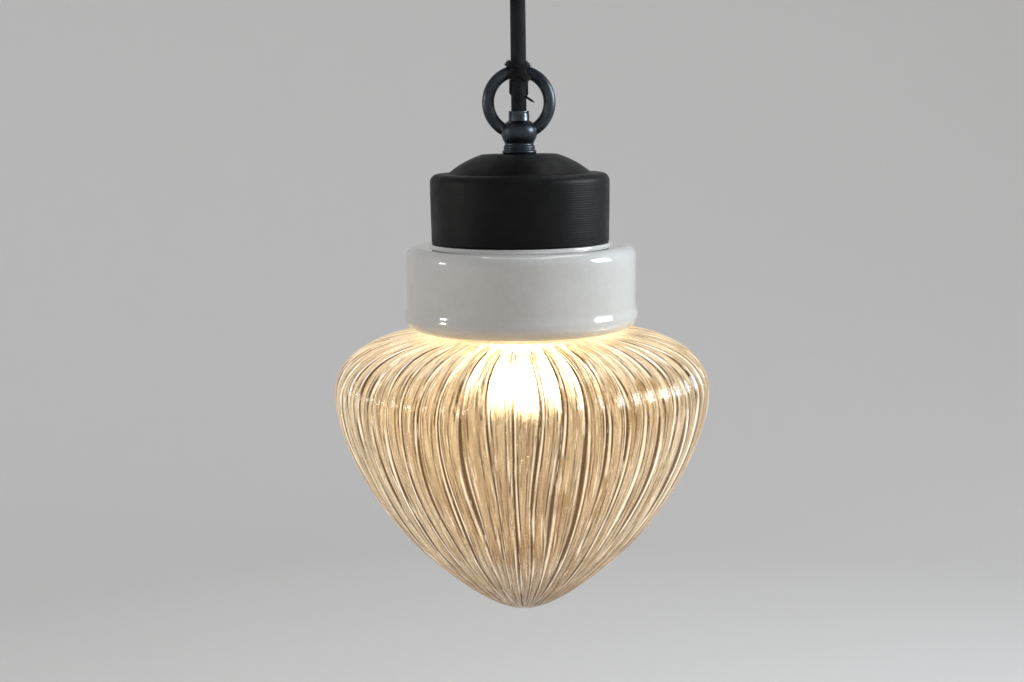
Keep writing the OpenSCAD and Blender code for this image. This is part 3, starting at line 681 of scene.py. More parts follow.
def whipping(top):
    """The line of the turns round the cord, each level with the cord's own slope."""
    line = []
    for i in range(WHIPPING_TURNS * WHIPPING_POINTS + 1):
        a = 2 * math.pi * i / WHIPPING_POINTS + WHIPPING_START
        z = top - WHIPPING_PITCH * i / WHIPPING_POINTS
        x, y = WHIPPING_R * math.cos(a), WHIPPING_R * math.sin(a)
        line.append((x, cord_y(z) + y, z - y * (cord_y(z - 0.5) - cord_y(z + 0.5)) * 0.9))
    return np.array(line)


def lashing():
    """Twine that ties the cord to the ring's bar: turns that cross both ways, whipping turns
    round the cord and one loose tail, with loose fibres."""
    heap = Heap()
    chance = random.Random(9)
    fibres = []
    for way, layer in ((-1, 0.05), (1, 1.0)):
        for k in (-1, 0, 1):
            line, beside = twine_loop(way, layer - 0.12 * abs(k))
            line = even_loop(line + CROSS_GAP * k * beside, 0.45)
            heap.add(*laid_line(line, TWINE_R, lay=3.2, closed=True, turn=k))
            fibres += [line[i] for i in range(chance.randrange(3), len(line), 3)]
    for start in fibres:
        away = start - np.array([0, CORD_FRONT / 2, BAR_Z])
        lean = away / np.linalg.norm(away) + np.array([chance.uniform(-0.8, 0.8) for _ in range(3)])
        path = np.array([start, start + 0.6 * lean, start + 1.0 * lean + 0.1])
        heap.add(*laid_line(path, 0.07, lay=9, sides=3))
    heap.add(*laid_line(whipping(BAR_Z - WHIPPING_DROP), TWINE_R, lay=3.2))
    tail = smooth_line(TAIL, 0.3)
    heap.add(*laid_line(tail, TWINE_R * 1.12, lay=3.0, round_ends=False))
    for _ in range(14):
        lean = np.array([chance.uniform(0.5, 1.0), chance.uniform(-0.5, 0.5), chance.uniform(-0.9, 0.1)])
        start = tail[-1] + 0.25 * np.array([0, chance.uniform(-1, 1), chance.uniform(-1, 1)])
        path = np.array([start - 0.5 * lean, start + 0.4 * lean, start + 0.9 * lean])
        heap.add(*laid_line(path, 0.09, lay=9, sides=4))
    return heap.piece("twine_lashing")


CORD_TOP = (0, 0, -44.8)
cord_line = smooth_line([CORD_TOP] + CORD_ROUTE, 0.36)
cord = braid("textile_cord", cord_line)
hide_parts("cord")
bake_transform(cord)
cord.data.materials.append(
    yarn_material("textile", (0.004, 0.004, 0.0045), (0.028, 0.03, 0.033), 1500.0, 0.12))

twine = lashing()
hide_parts("cord_lashing")
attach(twine, "pendant")
twine.data.materials.append(
    yarn_material("twine", (0.003, 0.003, 0.003), (0.016, 0.015, 0.015), 2400.0, 0.08))


# ---------------------------------------------------------------- hanging ring and tube


BALL_R = 8.6
NECK_R = 6.95
TUBE_R = 4.93
TUBE_BORE = 5.0
TUBE_PITCH = 1.0


def screwed(name, outline, pitch, steps, angle=50):
    """A piece turned about the lamp's axis from a closed outline of (radius, z, wave): where wave
    isn't 0 the surface rises and falls by it once in a pitch and winds round right-handed."""
    points, faces = [], []
    count = len(outline)
    for j, (c, s) in enumerate(circle(steps)):
        here, ahead = j * count, (j + 1) % steps * count
        for i, (r, z, wave) in enumerate(outline):
            n = (i + 1) % count
            out = r + wave * math.sin(2 * math.pi * (z / pitch - j / steps))
            points.append((out * c, out * s, z))
            faces.append((here + i, here + n, ahead + n, ahead + i))
    return smooth(tidy_mesh(mesh_piece(name, points, faces, angle)), angle)


def thread_rows(radius, wave, top, foot, rows, runout):
    """Outline points of a thread from one level to another that fades in and out over its
    runout."""
    found = []
    for i in range(rows + 1):
        z = top + (foot - top) * i / rows
        lead = min(1.0, abs(top - z) / runout, abs(z - foot) / runout)
        found.append((radius, z, wave * lead))
    return found


def plain_rows(line):
    return [(r, z, 0.0) for r, z in line]


def hanging_ring():
    """Cast ring, flattened ball and neck in one, with the fillets of a casting, two beads round
    the foot and a bore for the tube."""
    nothing_selected()
    bpy.ops.mesh.primitive_torus_add(
        major_radius=(RING_R - RING_BAR) * MM, minor_radius=RING_BAR * MM, major_segments=128,
        minor_segments=40, location=mm(0, 0, RING_Z), rotation=LEVEL)
    ring = settle(named("hanging_ring"))
    middle = BALL_Z + 0.8
    neck_z = CAP_Z + 5.2
    ball = turned("ball", joined(
        [(0, BALL_Z + 7.4)], [(BALL_R * math.cos(math.radians(a)), middle + 6.6 * math.sin(math.radians(a)))
                              for a in range(85, -1, -5)],
        curve((BALL_R, middle), (BALL_R, middle - 2.6), (NECK_R + 0.65, middle - 3.9), (NECK_R, neck_z), 12),
        curve((NECK_R, neck_z), (NECK_R - 0.2, neck_z - 0.5), (NECK_R - 0.05, neck_z - 1.0),
              (NECK_R + 0.3, neck_z - 1.3), 6),
        arc(NECK_R - 0.2, CAP_Z + 3.2, 0.85, 55, -45, 10),
        arc(NECK_R + 0.3, CAP_Z + 1.05, 0.95, 75, -60, 12), [(8.0, CAP_Z), (0, CAP_Z)]), steps=96)
    combine(ring, ball, "UNION")
    modify(ring, "REMESH", mode="VOXEL", voxel_size=0.22 * MM)
    modify(ring, "SMOOTH", factor=0.5, iterations=5)
    return smooth(drilled(ring, TUBE_BORE, 30, (0, 0, BALL_Z), sides=96), 50)


def threaded_tube():
    """Tube with a chamfered mouth and a turned line near it, threaded below the cap's top."""
    mouth = [(4.75, TUBE_Z), (TUBE_R, TUBE_Z - 0.2), (TUBE_R, TUBE_Z - 0.9), (4.8, TUBE_Z - 1.1),
             (4.8, TUBE_Z - 1.3), (TUBE_R, TUBE_Z - 1.5), (TUBE_R, CAP_Z + 0.5)]
    thread = thread_rows(4.65, 0.25, CAP_Z - 0.3, TUBE_END_Z + 0.1, 180, 0.8)
    bore = [(4.55, TUBE_END_Z), (4.0, TUBE_END_Z), (4.0, TUBE_Z - 0.3), (4.3, TUBE_Z)]
    return screwed("threaded_tube", plain_rows(mouth) + thread + plain_rows(bore), TUBE_PITCH, 64)


DARK_CASTING = metal_material("dark_casting", (0.03, 0.036, 0.043), (0.085, 0.097, 0.112), (0.32, 0.46),
                              grain=0.00002, worn=(0.14, 0.16, 0.18), reach=0.22)
TUBE_STEEL = metal_material("tube_steel", (0.05, 0.06, 0.07), (0.15, 0.17, 0.19), (0.26, 0.4), scale=260.0)


def dress(piece, material, body, slot, *nodes):
    """Gives a piece its material and its body, and hides the nodes that it stands for; the slot is not used.
    """
    piece.data.materials.clear()
    piece.data.materials.append(material)
    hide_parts(*nodes)
    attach(piece, body)
    return piece


dress(hanging_ring(), DARK_CASTING, "pendant", "dark_casting", "hanging_ring")
dress(threaded_tube(), TUBE_STEEL, "pendant", "zinced_steel", "threaded_tube")


# ---------------------------------------------------------------- cap and collar


CAP_EDGE = 4
CAP_WALL = 5
CAP_HOLE_R = 5.1
CROWN_R = 17.4
DOME_R = 46
DOME_FOOT_R = 34.2
COLLAR_EDGE = 5.5
COLLAR_HOLE_R = 12.9
COLLAR_THREAD_R = 42.8
SPIGOT_R = 43.2
BEAD_CURVE = 6.2
STRAP_HOLES = ((25, 0, 2.05), (-25, 0, 2.05))
HOLDER_HOLES = ((0, 17.05, 1.55), (0, -17.05, 1.55))


def arc_between(p, q, radius, steps):
    """Points of an arc from p to q that bulges up and out."""
    half = math.dist(p, q) / 2
    middle = ((p[0] + q[0]) / 2, (p[1] + q[1]) / 2)
    along = ((q[0] - p[0]) / (2 * half), (q[1] - p[1]) / (2 * half))
    sink = math.sqrt(radius * radius - half * half)
    x, z = middle[0] + sink * along[1], middle[1] - sink * along[0]
    start = math.degrees(math.atan2(p[1] - z, p[0] - x))
    end = math.degrees(math.atan2(q[1] - z, q[0] - x))
    return arc(x, z, radius, start, end, steps)


def top_cap():
    """Turned cap: flat crown with a soft corner, a domed shoulder, a fine bead line at the ledge,
    a rounded edge and a side that draws in a little to its foot."""
    z, flat = CAP_Z, CROWN_R
    inner_z = LEDGE_Z - CAP_WALL
    return turned("top_cap", joined(
        [(CAP_HOLE_R, z - 0.3), (5.4, z), (flat, z)],
        curve((flat, z), (flat + 0.6, z), (flat + 1.1, z - 0.1), (flat + 1.7, z - 0.4), 6),
        arc_between((flat + 1.7, z - 0.4), (DOME_FOOT_R, LEDGE_Z + 0.15), DOME_R, 18),
        [(34.45, LEDGE_Z - 0.2), (34.75, LEDGE_Z - 0.05), (35.1, LEDGE_Z)],
        arc(CAP_R - CAP_EDGE, LEDGE_Z - CAP_EDGE, CAP_EDGE, 90, 0, 14),
        [(CAP_R, z - 18), (CAP_R - 0.1, z - 27), (CAP_R - 0.25, z - 36)],
        arc(CAP_R - 1.2, CAP_FOOT_Z + 0.9, 0.9, 0, -90, 6), [(38.2, CAP_FOOT_Z), (37.5, CAP_FOOT_Z + 0.7)],
        [(38, inner_z - 4), (37.9, inner_z - 2), (36, inner_z)],
        arc_between((16, z - CAP_WALL), (33.4, inner_z), DOME_R, 12)[::-1],
        [(CAP_HOLE_R, z - CAP_WALL), (CAP_HOLE_R, z - 0.3)]), steps=256)


def porcelain_collar():
    """Slip-cast collar: spigot, rounded edge, almost straight side and a rolled bead, screwed
    inside for the shade."""
    bead_x, bead_z = BEAD_R - BEAD_CURVE, COLLAR_FOOT_Z + BEAD_CURVE
    bead_top = arc(bead_x, bead_z, BEAD_CURVE, 20, 20, 1)[0]
    waist = (COLLAR_R - 0.2, bead_z + 9)
    below_edge = (COLLAR_R, COLLAR_Z - COLLAR_EDGE)
    outside = joined(
        [(COLLAR_HOLE_R, CAP_FOOT_Z - 0.25), (13.2, CAP_FOOT_Z - 0.05), (SPIGOT_R, CAP_FOOT_Z - 0.05)],
        arc(SPIGOT_R, CAP_FOOT_Z - 0.65, 0.6, 90, 10, 5),
        curve((43.85, COLLAR_Z + 0.35), (43.9, COLLAR_Z + 0.05), (44.2, COLLAR_Z), (44.8, COLLAR_Z), 4),
        arc(COLLAR_R - COLLAR_EDGE, COLLAR_Z - COLLAR_EDGE, COLLAR_EDGE, 90, 0, 14),
        curve(below_edge, (COLLAR_R, COLLAR_Z - 11), (waist[0], waist[1] + 6), waist, 10),
        curve(waist, (waist[0], waist[1] - 4), (bead_top[0] - 0.7, bead_top[1] + 2.0), bead_top, 10),
        arc(bead_x, bead_z, BEAD_CURVE, 20, -90, 18), [(44.7, COLLAR_FOOT_Z), (43.7, COLLAR_FOOT_Z + 0.6)])
    inside = joined([(COLLAR_BORE - 0.2, COLLAR_FOOT_Z + 18.2)],
                    arc(COLLAR_BORE - 3, COLLAR_CEILING_Z - 3, 3, 0, 90, 6),
                    [(13.2, COLLAR_CEILING_Z), (COLLAR_HOLE_R, COLLAR_CEILING_Z + 0.3)])
    thread = thread_rows(COLLAR_THREAD_R, 0.5, COLLAR_FOOT_Z + 1.2, COLLAR_FOOT_Z + 13.8, 40, 1.6)
    piece = screwed("porcelain_collar", plain_rows(outside) + thread + plain_rows(inside),
                    SHADE_PITCH, 216, 40)
    for x, y, r in STRAP_HOLES + HOLDER_HOLES:
        drilled(piece, r, 12, (x, y, COLLAR_CEILING_Z + 3.5))
    return smooth(piece, 40)


def glaze_material():
    """Glossy white glaze, a little thin and warm, with faint clouds and rare pinholes."""
    material, tree, shader, place = new_material(
        "white_glaze", Coat_Weight=0.7, Coat_Roughness=0.03, Subsurface_Weight=0.1,
        Subsurface_Scale=0.002, Specular_IOR_Level=0.5)
    colour, gloss = mottled(tree, place, 30.0, (0.60, 0.59, 0.565), (0.68, 0.675, 0.655), (0.07, 0.13))
    dots = add_node(tree, "TexVoronoi", {"Vector": place, "Scale": 130.0, "Randomness": 1.0})
    pin = remap(tree, dots.outputs["Distance"], 0.02, 0.05, 1.0, 0.0)
    waves = bumped(tree, noise(tree, place, 55.0, 2.0), 0.0003, 0.2)
    feed(tree, shader, Base_Color=blended(tree, product(tree, pin, 0.5), colour, (0.3, 0.26, 0.22)),
         Roughness=gloss,
         Normal=bumped(tree, number(tree, "SUBTRACT", 1.0, pin), 0.00006, 0.5, Normal=waves))
    return material


def cap_material():
    """Matt black turned finish with fine lines round it and a dusty bloom."""
    material, tree, shader, place = new_material("black_cap", Specular_IOR_Level=0.16)
    colour, gloss = mottled(tree, place, 45.0, (0.0038, 0.0036, 0.0035), (0.008, 0.0078, 0.0078),
                            (0.4, 0.54))
    lines = use_group(tree, TURNING, vector=place, pitch=0.0011)["Height"]
    dust = remap(tree, noise(tree, place, 900.0, 4.0, 0.8), 0.6, 0.8, 0.0, 0.06)
    grooves = bumped(tree, lines, 0.00007, 0.6)
    feed(tree, shader, Base_Color=blended(tree, dust, colour, (0.12, 0.12, 0.115)), Roughness=gloss,
         Normal=bumped(tree, noise(tree, place, 1500.0, 2.0), 0.00002, 0.4, Normal=grooves))
    return material


dress(top_cap(), cap_material(), "pendant", "black_cap", "top_cap")
WHITE_GLAZE = glaze_material()
dress(porcelain_collar(), WHITE_GLAZE, "pendant", "white_glaze", "porcelain_collar")


# ---------------------------------------------------------------- glass shade

RIBS = 54
RIB_POINTS = 14
RIB_DEPTH = 1.5
GLASS_WALL = 3.2
GLASS_IOR = 1.5
GROOVE_PULL = 0.085
SWAY = (0.26, 0.26, 0.14)
INSIDE_DEPTH = 0.7
NECK_R_OUT = 41.75
NECK_R_IN = 38.5
NECK_THREAD = 0.45
SHOULDER_R = 46.25
NECK_ROWS = 20
SHOULDER_ROWS = 22
SIDE_ROWS = 24
NECK_SHARE = NECK_ROWS / (NECK_ROWS + SHOULDER_ROWS + 2 * SIDE_ROWS)


def crest_line():
    """The shade's crest line, from the neck's foot over the shoulder and the belly to the tip."""
    belly = (BELLY_R, BELLY_Z)
    flank = (52.1, TIP_Z + 33.8)
    slope = (0.716 * 24, 0.698 * 24)
    return np.array(joined(
        curve((SHOULDER_R, SHOULDER_Z), (74, SHOULDER_Z - 1.5), (BELLY_R, BELLY_Z + 16.5), belly,
              SHOULDER_ROWS),
        curve(belly, (BELLY_R, BELLY_Z - 26), (flank[0] + slope[0], flank[1] + slope[1]), flank, SIDE_ROWS),
        curve(flank, (flank[0] - slope[0], flank[1] - slope[1]), (14, TIP_Z), (0.5, TIP_Z), SIDE_ROWS)))


def smooth_noise(rng, count, terms):
    """Values round a ring that change smoothly between -1 and 1."""
    a = 2 * np.pi * np.arange(count) / count
    found = sum(rng.normal() * np.cos(k * a) + rng.normal() * np.sin(k * a)
                for k in range(2, 2 + 3 * terms, 3))
    return found / np.abs(found).max()


def rib_phase():
    """Places across a rib, from 0 in one groove to 1 in the next, closer together at the grooves."""
    phase = np.arange(RIB_POINTS) / RIB_POINTS
    return phase - GROOVE_PULL * np.sin(2 * np.pi * phase)


def ring_of(radius, angle, z):
    return np.stack([radius * np.cos(angle), radius * np.sin(angle), z + 0 * angle], axis=1)


def glass_rings():
    """Rings of points of the shade's outside and inside. Its ribs are rounded and the grooves
    between them sharp; each rib wanders and swells a little, as in hand-finished glass, and the
    inside follows the ribs less deeply."""
    crest = crest_line()
    along = unit(np.gradient(crest, axis=0))
    inward = np.stack([along[:, 1], -along[:, 0]], axis=1)
    far = lengths_along(crest)
    rng = np.random.default_rng(11)
    rib = np.repeat(np.arange(RIBS), RIB_POINTS)
    p = np.tile(rib_phase(), RIBS)
    form = (1 - np.sin(np.pi * p)) ** 1.25
    wander = [smooth_noise(rng, RIBS, 4) for _ in range(3)]
    deeper = 1 + 0.3 * smooth_noise(rng, RIBS, 9)
    deep_of = np.where(p < 0.5, deeper[rib], deeper[(rib + 1) % RIBS])
    sway_of = [w[rib] * (1 - p) + w[(rib + 1) % RIBS] * p for w in wander]
    flat = 2 * np.pi * np.arange(RIBS * RIB_POINTS) / (RIBS * RIB_POINTS)
    outer = []
    for z in np.linspace(NECK_TOP_Z, SHOULDER_Z + 0.5, NECK_ROWS):
        lead = max(0.0, min(1.0, (NECK_TOP_Z - z) / 1.5, (z - SHOULDER_Z - 0.5) / 1.5))
        thread = NECK_THREAD * lead * np.sin(2 * np.pi * z / SHADE_PITCH - flat)
        outer.append(ring_of(NECK_R_OUT + thread, flat, z))
    inner = [ring_of(NECK_R_IN, flat, z)[::2] for z in (NECK_TOP_Z, NECK_TOP_Z - 4.5, SHOULDER_Z + 2)]
    for i, (r, z) in enumerate(crest):
        share = far[i] / far[-1]
        bow = math.sin(math.pi * share)
        sway = bow * (SWAY[0] * sway_of[0] + SWAY[1] * math.sin(7 * share) * sway_of[1]
                      + SWAY[2] * math.cos(13 * share) * sway_of[2])
        a = 2 * np.pi * (rib + p + sway) / RIBS
        depth = RIB_DEPTH * min(1.0, max(0.0, (r - SHOULDER_R) / 8) if i < SHOULDER_ROWS else r / 20)
        swell = (0.12 + 0.1 * np.sin(3 * a + far[i] / 31)) * min(1, r / 30)
        d = depth * deep_of * form + swell
        outer.append(ring_of(r + inward[i][0] * d, a, z + inward[i][1] * d))
        r, z = crest[i] + inward[i] * GLASS_WALL
        has_room = r > 1.5 and (i >= 20 or r > 41) and i < len(crest) - 2
        if i % 2 and has_room:
            d = (INSIDE_DEPTH * depth * deep_of * form + 0.12 * np.sin(5 * a + far[i] / 17))[::2]
            inner.append(ring_of(r + inward[i][0] * d, a[::2], z + inward[i][1] * d))
    return outer, inner


def glass_shade():
    """Pressed and blown shade in one closed wall, with a threaded neck."""
    outer, inner = glass_rings()
    around, inner_sides = len(outer[0]), len(inner[0])
    tip = len(outer) * around
    first = tip + 1
    hollow = first + len(inner) * inner_sides
    points = np.concatenate(outer + [[[0, 0, TIP_Z]]] + inner + [[[0, 0, TIP_Z + GLASS_WALL + 0.2]]])
    faces = []
    for start, rows, sides, pole, way in ((0, len(outer), around, tip, -1),
                                          (first, len(inner), inner_sides, hollow, 1)):
        for i in range(rows - 1):
            low = start + i * sides
            for j in range(sides):
                n = (j + 1) % sides
                faces.append((low + j, low + n, low + n + sides, low + j + sides)[::way])
        last = start + (rows - 1) * sides
        faces.extend((last + j, last + (j + 1) % sides, pole)[::way] for j in range(sides))
    for j in range(inner_sides):
        c, d = first + j, first + (j + 1) % inner_sides
        faces.append((c, 2 * j, 2 * j + 1))
        faces.append((c, 2 * j + 1, d))
        faces.append((d, 2 * j + 1, (2 * j + 2) % around))
    piece = mesh_piece("glass_shade", points, faces, 80)
    rib_map(piece, len(outer), around)
    return piece


def rib_map(piece, rows, around):
    """UV map of the shade's outside: U counts the ribs round the lamp, V goes from 0 at the neck
    to 1 at the tip. The inside lies at U 0.5, the middle of a rib."""
    mesh = piece.data
    corners = np.empty(len(mesh.loops), dtype=np.int64)
    mesh.loops.foreach_get("vertex_index", corners)
    face_of = np.repeat(np.arange(len(mesh.polygons)), [face.loop_total for face in mesh.polygons])
    outer = corners < rows * around
    u = np.full(len(corners), 0.5)
    v = np.full(len(corners), 0.5)
    u[outer] = (np.repeat(np.arange(RIBS), RIB_POINTS) + np.tile(rib_phase(), RIBS))[corners[outer] % around]
    v[outer] = corners[outer] // around / rows
    highest = np.zeros(len(mesh.polygons))
    np.maximum.at(highest, face_of[outer], u[outer])
    u[outer & (highest[face_of] - u > RIBS / 2)] += RIBS
    mesh.uv_layers.new(name="ribs").data.foreach_set("uv", np.stack([u, v], axis=1).ravel())


def rib_line(tree, phase, centre, width):
    """Mask of a thin line that runs along each rib, at a share of the rib's width."""
    away = number(tree, "ABSOLUTE", number(tree, "SUBTRACT", phase, centre))
    return remap(tree, away, 0.45 * width, width, 1.0, 0.0)


def shade_material():
    """Clear glass: a painted straw tint for the bulb's warm light, darker toward the tip; painted
    shade and highlight lines at the grooves; cords along the ribs; seeds; a painted bulb glow."""
    material, tree, shader, place = new_material(
        "clear_glass", Transmission_Weight=1.0, IOR=GLASS_IOR, Metallic=0.0, Emission_Strength=1.0)
    across, along, _ = split(tree, add_node(tree, "UVMap", uv_map="ribs").outputs[0])
    drawn, brushed, beads = (vector_of(tree, product(tree, across, u), product(tree, along, v))
                             for u, v in ((1.4, 4.5), (8.0, 12.0), (9.0, 110.0)))
    slow = noise(tree, drawn, 1.0, 0.0)
    patches = noise(tree, drawn, 2.1, 3.0, 0.6)
    cords = noise(tree, brushed, 1.0, 4.0, 0.65)
    grain = noise(tree, beads, 1.0, 3.0, 0.7)
    wobble = product(tree, number(tree, "SUBTRACT", slow, 0.5), 0.45)
    phase = number(tree, "FRACT", number(tree, "ADD", across, wobble))
    # Painted shade: dark lines in each groove and to both sides of it, standing in for the dark lines that
    # refraction draws in clear ribbed glass.
    groove = number(tree, "MAXIMUM", rib_line(tree, phase, 0.0, 0.085), rib_line(tree, phase, 1.0, 0.085))
    some = remap(tree, patches, 0.42, 0.52, 0.0, 1.0)
    other = remap(tree, patches, 0.44, 0.54, 1.0, 0.0)
    painted_shade_and_cords = groove
    for centre, width, where, strength in ((0.20, 0.06, some, 0.97), (0.80, 0.06, other, 0.97),
                                           (0.35, 0.045, other, 0.9), (0.66, 0.05, some, 0.85)):
        painted_shade_and_cords = number(tree, "MAXIMUM", painted_shade_and_cords,
                       product(tree, rib_line(tree, phase, centre, width), where, strength))
    near_lines = number(tree, "ABSOLUTE", number(tree, "SUBTRACT", phase, 0.5))
    beaded = product(tree, remap(tree, near_lines, 0.18, 0.32, 0.0, 1.0),
                     remap(tree, grain, 0.54, 0.64, 0.0, 0.75))
    streaks = remap(tree, cords, 0.56, 0.68, 0.0, 0.75)
    ribbed = remap(tree, along, NECK_SHARE, NECK_SHARE + 0.03, 0.0, 1.0)
    fine = number(tree, "MAXIMUM", streaks, beaded)
    # The painted shade lines also take in darker streaks of the glass's real cords along the ribs.
    painted_shade_and_cords = product(tree, ribbed, number(tree, "MAXIMUM", painted_shade_and_cords, fine))
    # Painted highlights: pale lines beside the grooves and pale streaks along the ribs, for light refracted
    # at the groove edges.
    painted_highlight_lines = number(tree, "MAXIMUM", product(tree, rib_line(tree, phase, 0.115, 0.05), some),
                  product(tree, rib_line(tree, phase, 0.885, 0.05), other))
    painted_highlight_lines = product(tree, ribbed, number(tree, "MAXIMUM", painted_highlight_lines, remap(tree, cords, 0.34, 0.42, 0.9, 0.0)))
    # Painted light: the clear glass gets a warm straw tint for the lit bulb's light in it, in lighter and
    # darker patches, and darker and browner toward the tip.
    toward_tip = remap(tree, along, 0.38, 0.95, 0.0, 0.65)
    depth = number(tree, "SUBTRACT", remap(tree, patches, 0.3, 0.7, 0.15, 0.95), toward_tip)
    body = ramp(tree, depth, [(0.0, (0.44, 0.28, 0.12)), (0.9, (0.92, 0.82, 0.63))])
    # Colour of the painted highlight lines, near white and warmer toward the tip.
    crest = ramp(tree, toward_tip, [(0.0, (1.0, 0.96, 0.86)), (0.65, (0.84, 0.67, 0.42))])
    # Where the painted shade lines run, the tint turns almost black.
    colour = blended(tree, painted_shade_and_cords, body, (0.05, 0.02, 0.006))
    colour = blended(tree, painted_highlight_lines, colour, crest)
    seeds = add_node(tree, "TexVoronoi", {"Vector": place, "Scale": 260.0, "Randomness": 1.0})
    cluster = add_node(tree, "VectorMath", {0: place, 1: mm(-2, -86, BELLY_Z - 24)}, operation="DISTANCE")
    seed = product(tree, remap(tree, seeds.outputs["Distance"], 0.12, 0.24, 1.0, 0.0),
                   remap(tree, cluster.outputs["Value"], 0.012, 0.022, 1.0, 0.0))
    height = number(tree, "MULTIPLY_ADD", grain, 0.2, number(tree, "MULTIPLY_ADD", seed, -0.7, cords))
    # Painted glow: the glass emits a warm light that fades with distance from the bulb and is weaker on the
    # painted shade lines; the glass is no lamp.
    near = add_node(tree, "VectorMath", {0: place, 1: mm(0, 0, SHOULDER_Z - 8)}, operation="DISTANCE")
    painted_bulb_glow = remap(tree, near.outputs["Value"], 0.045, 0.125, 0.30, 0.02)
    # Strength of the painted glow, in patches.
    light = product(tree, painted_bulb_glow, number(tree, "SUBTRACT", 1.0, painted_shade_and_cords),
                    remap(tree, patches, 0.35, 0.62, 0.4, 1.5))
    # Colour of the painted glow, from its strength.
    warm = ramp(tree, light, [(0.0, (0.0, 0.0, 0.0)), (1.0, (1.0, 0.80, 0.52))])
    # Strength of the pale emission of the painted highlight lines, falling off away from the bulb.
    bright = remap(tree, near.outputs["Value"], 0.06, 0.15, 0.55, 0.12)
    # Emission colour: the painted glow, with the painted highlight lines shining pale over it.
    shine = blended(tree, product(tree, painted_highlight_lines, bright), warm, (1.0, 0.94, 0.82))
    feed(tree, shader, Base_Color=colour, Roughness=remap(tree, grain, 0.5, 0.7, 0.0, 0.34),
         Normal=bumped(tree, height, 0.0005, 0.6), Emission_Color=shine)
    see_through(tree, shader, (0.93, 0.85, 0.68))
    return material


def see_through(tree, shader, tint):
    """Lets lamp light pass straight through glass, so that what is behind it is lit."""
    output = next(n for n in tree.nodes if n.type == "OUTPUT_MATERIAL")
    clear = add_node(tree, "BsdfTransparent", {"Color": (*tint, 1)})
    shadow = tree.nodes.new("ShaderNodeLightPath").outputs["Is Shadow Ray"]
    mix = add_node(tree, "MixShader", {0: shadow, 1: shader.outputs[0], 2: clear.outputs[0]})
    tree.links.new(mix.outputs[0], output.inputs["Surface"])


dress(glass_shade(), shade_material(), "shade", "clear_glass", "glass_shade")


# ---------------------------------------------------------------- lampholder and bulb

BRASS = metal_material("brass", (0.55, 0.38, 0.14), (0.78, 0.58, 0.25), (0.2, 0.42), scale=150.0)
BULB_METAL = metal_material("bulb_metal", (0.62, 0.62, 0.6), (0.8, 0.8, 0.78), (0.16, 0.3), scale=120.0)


SHELL_THREAD_R = 13.04
CAP_THREAD_R = 12.58
THREAD_WAVE = 0.38
GLOBE_MEET = 50
GLOBE_STRENGTH = 60.0


def holder_shell():
    """Rolled brass shell with the round thread of a screw lampholder."""
    wall = 0.55
    inner = thread_rows(SHELL_THREAD_R, THREAD_WAVE, SHELL_FOOT_Z + 0.4, SHELL_Z - 2.0, 60, 2.0)
    outer = [(r + wall, z, wave) for r, z, wave in inner[::-1]]
    flange = [(13.3, SHELL_Z - 1.0), (12.9, SHELL_Z - 0.6), (10.4, SHELL_Z - 0.6), (10.4, SHELL_Z - 0.05),
              (13.4, SHELL_Z - 0.05)]
    return screwed("holder_shell", inner + plain_rows(flange) + outer + plain_rows([(13.6, SHELL_FOOT_Z)]),
                   BULB_PITCH, 96)


def bulb_cap():
    """Rolled screw cap of the bulb, with its skirt."""
    wall = 0.45
    top, foot = SCREW_CAP_Z, SCREW_CAP_FOOT_Z
    outer = thread_rows(CAP_THREAD_R, THREAD_WAVE, top - 3.3, foot + 3.4, 44, 1.8)
    inner = [(r - wall, z, wave) for r, z, wave in outer[::-1]]
    crown = [(9.6, top - 0.45), (9.6, top - 0.02), (10.6, top - 0.04), (11.8, top - 0.8),
             (12.5, top - 1.9)]
    skirt = [(13.1, foot + 2.6), (13.58, foot + 0.05), (13.1, foot + 0.05), (12.7, foot + 2.4)]
    under = [(12.0, top - 2.2), (11.4, top - 1.2), (10.5, top - 0.5)]
    return screwed("bulb_cap", plain_rows(crown) + outer + plain_rows(skirt) + inner + plain_rows(under),
                   BULB_PITCH, 96)


def bulb_globe():
    """Round frosted globe that draws in to its neck."""
    meet = math.radians(GLOBE_MEET)
    join = (GLOBE_R * math.cos(meet), GLOBE_Z + GLOBE_R * math.sin(meet))
    ahead = (join[0] - 2.5 * math.sin(meet), join[1] + 2.5 * math.cos(meet))
    top, low = GLOBE_NECK_Z - 0.05, GLOBE_NECK_Z - 6
    outside = joined([(12.5, top)], curve((12.5, low), (12.5, low - 2), ahead, join, 10),
                     arc(0, GLOBE_Z, GLOBE_R - 0.05, GLOBE_MEET, -90, 40))
    inside = arc(0, GLOBE_Z, GLOBE_R - 0.85, -90, GLOBE_MEET, 40) + [(11.7, low), (11.7, top)]
    return turned("bulb_globe", outside + inside + [(12.5, top)], steps=128, angle=60)


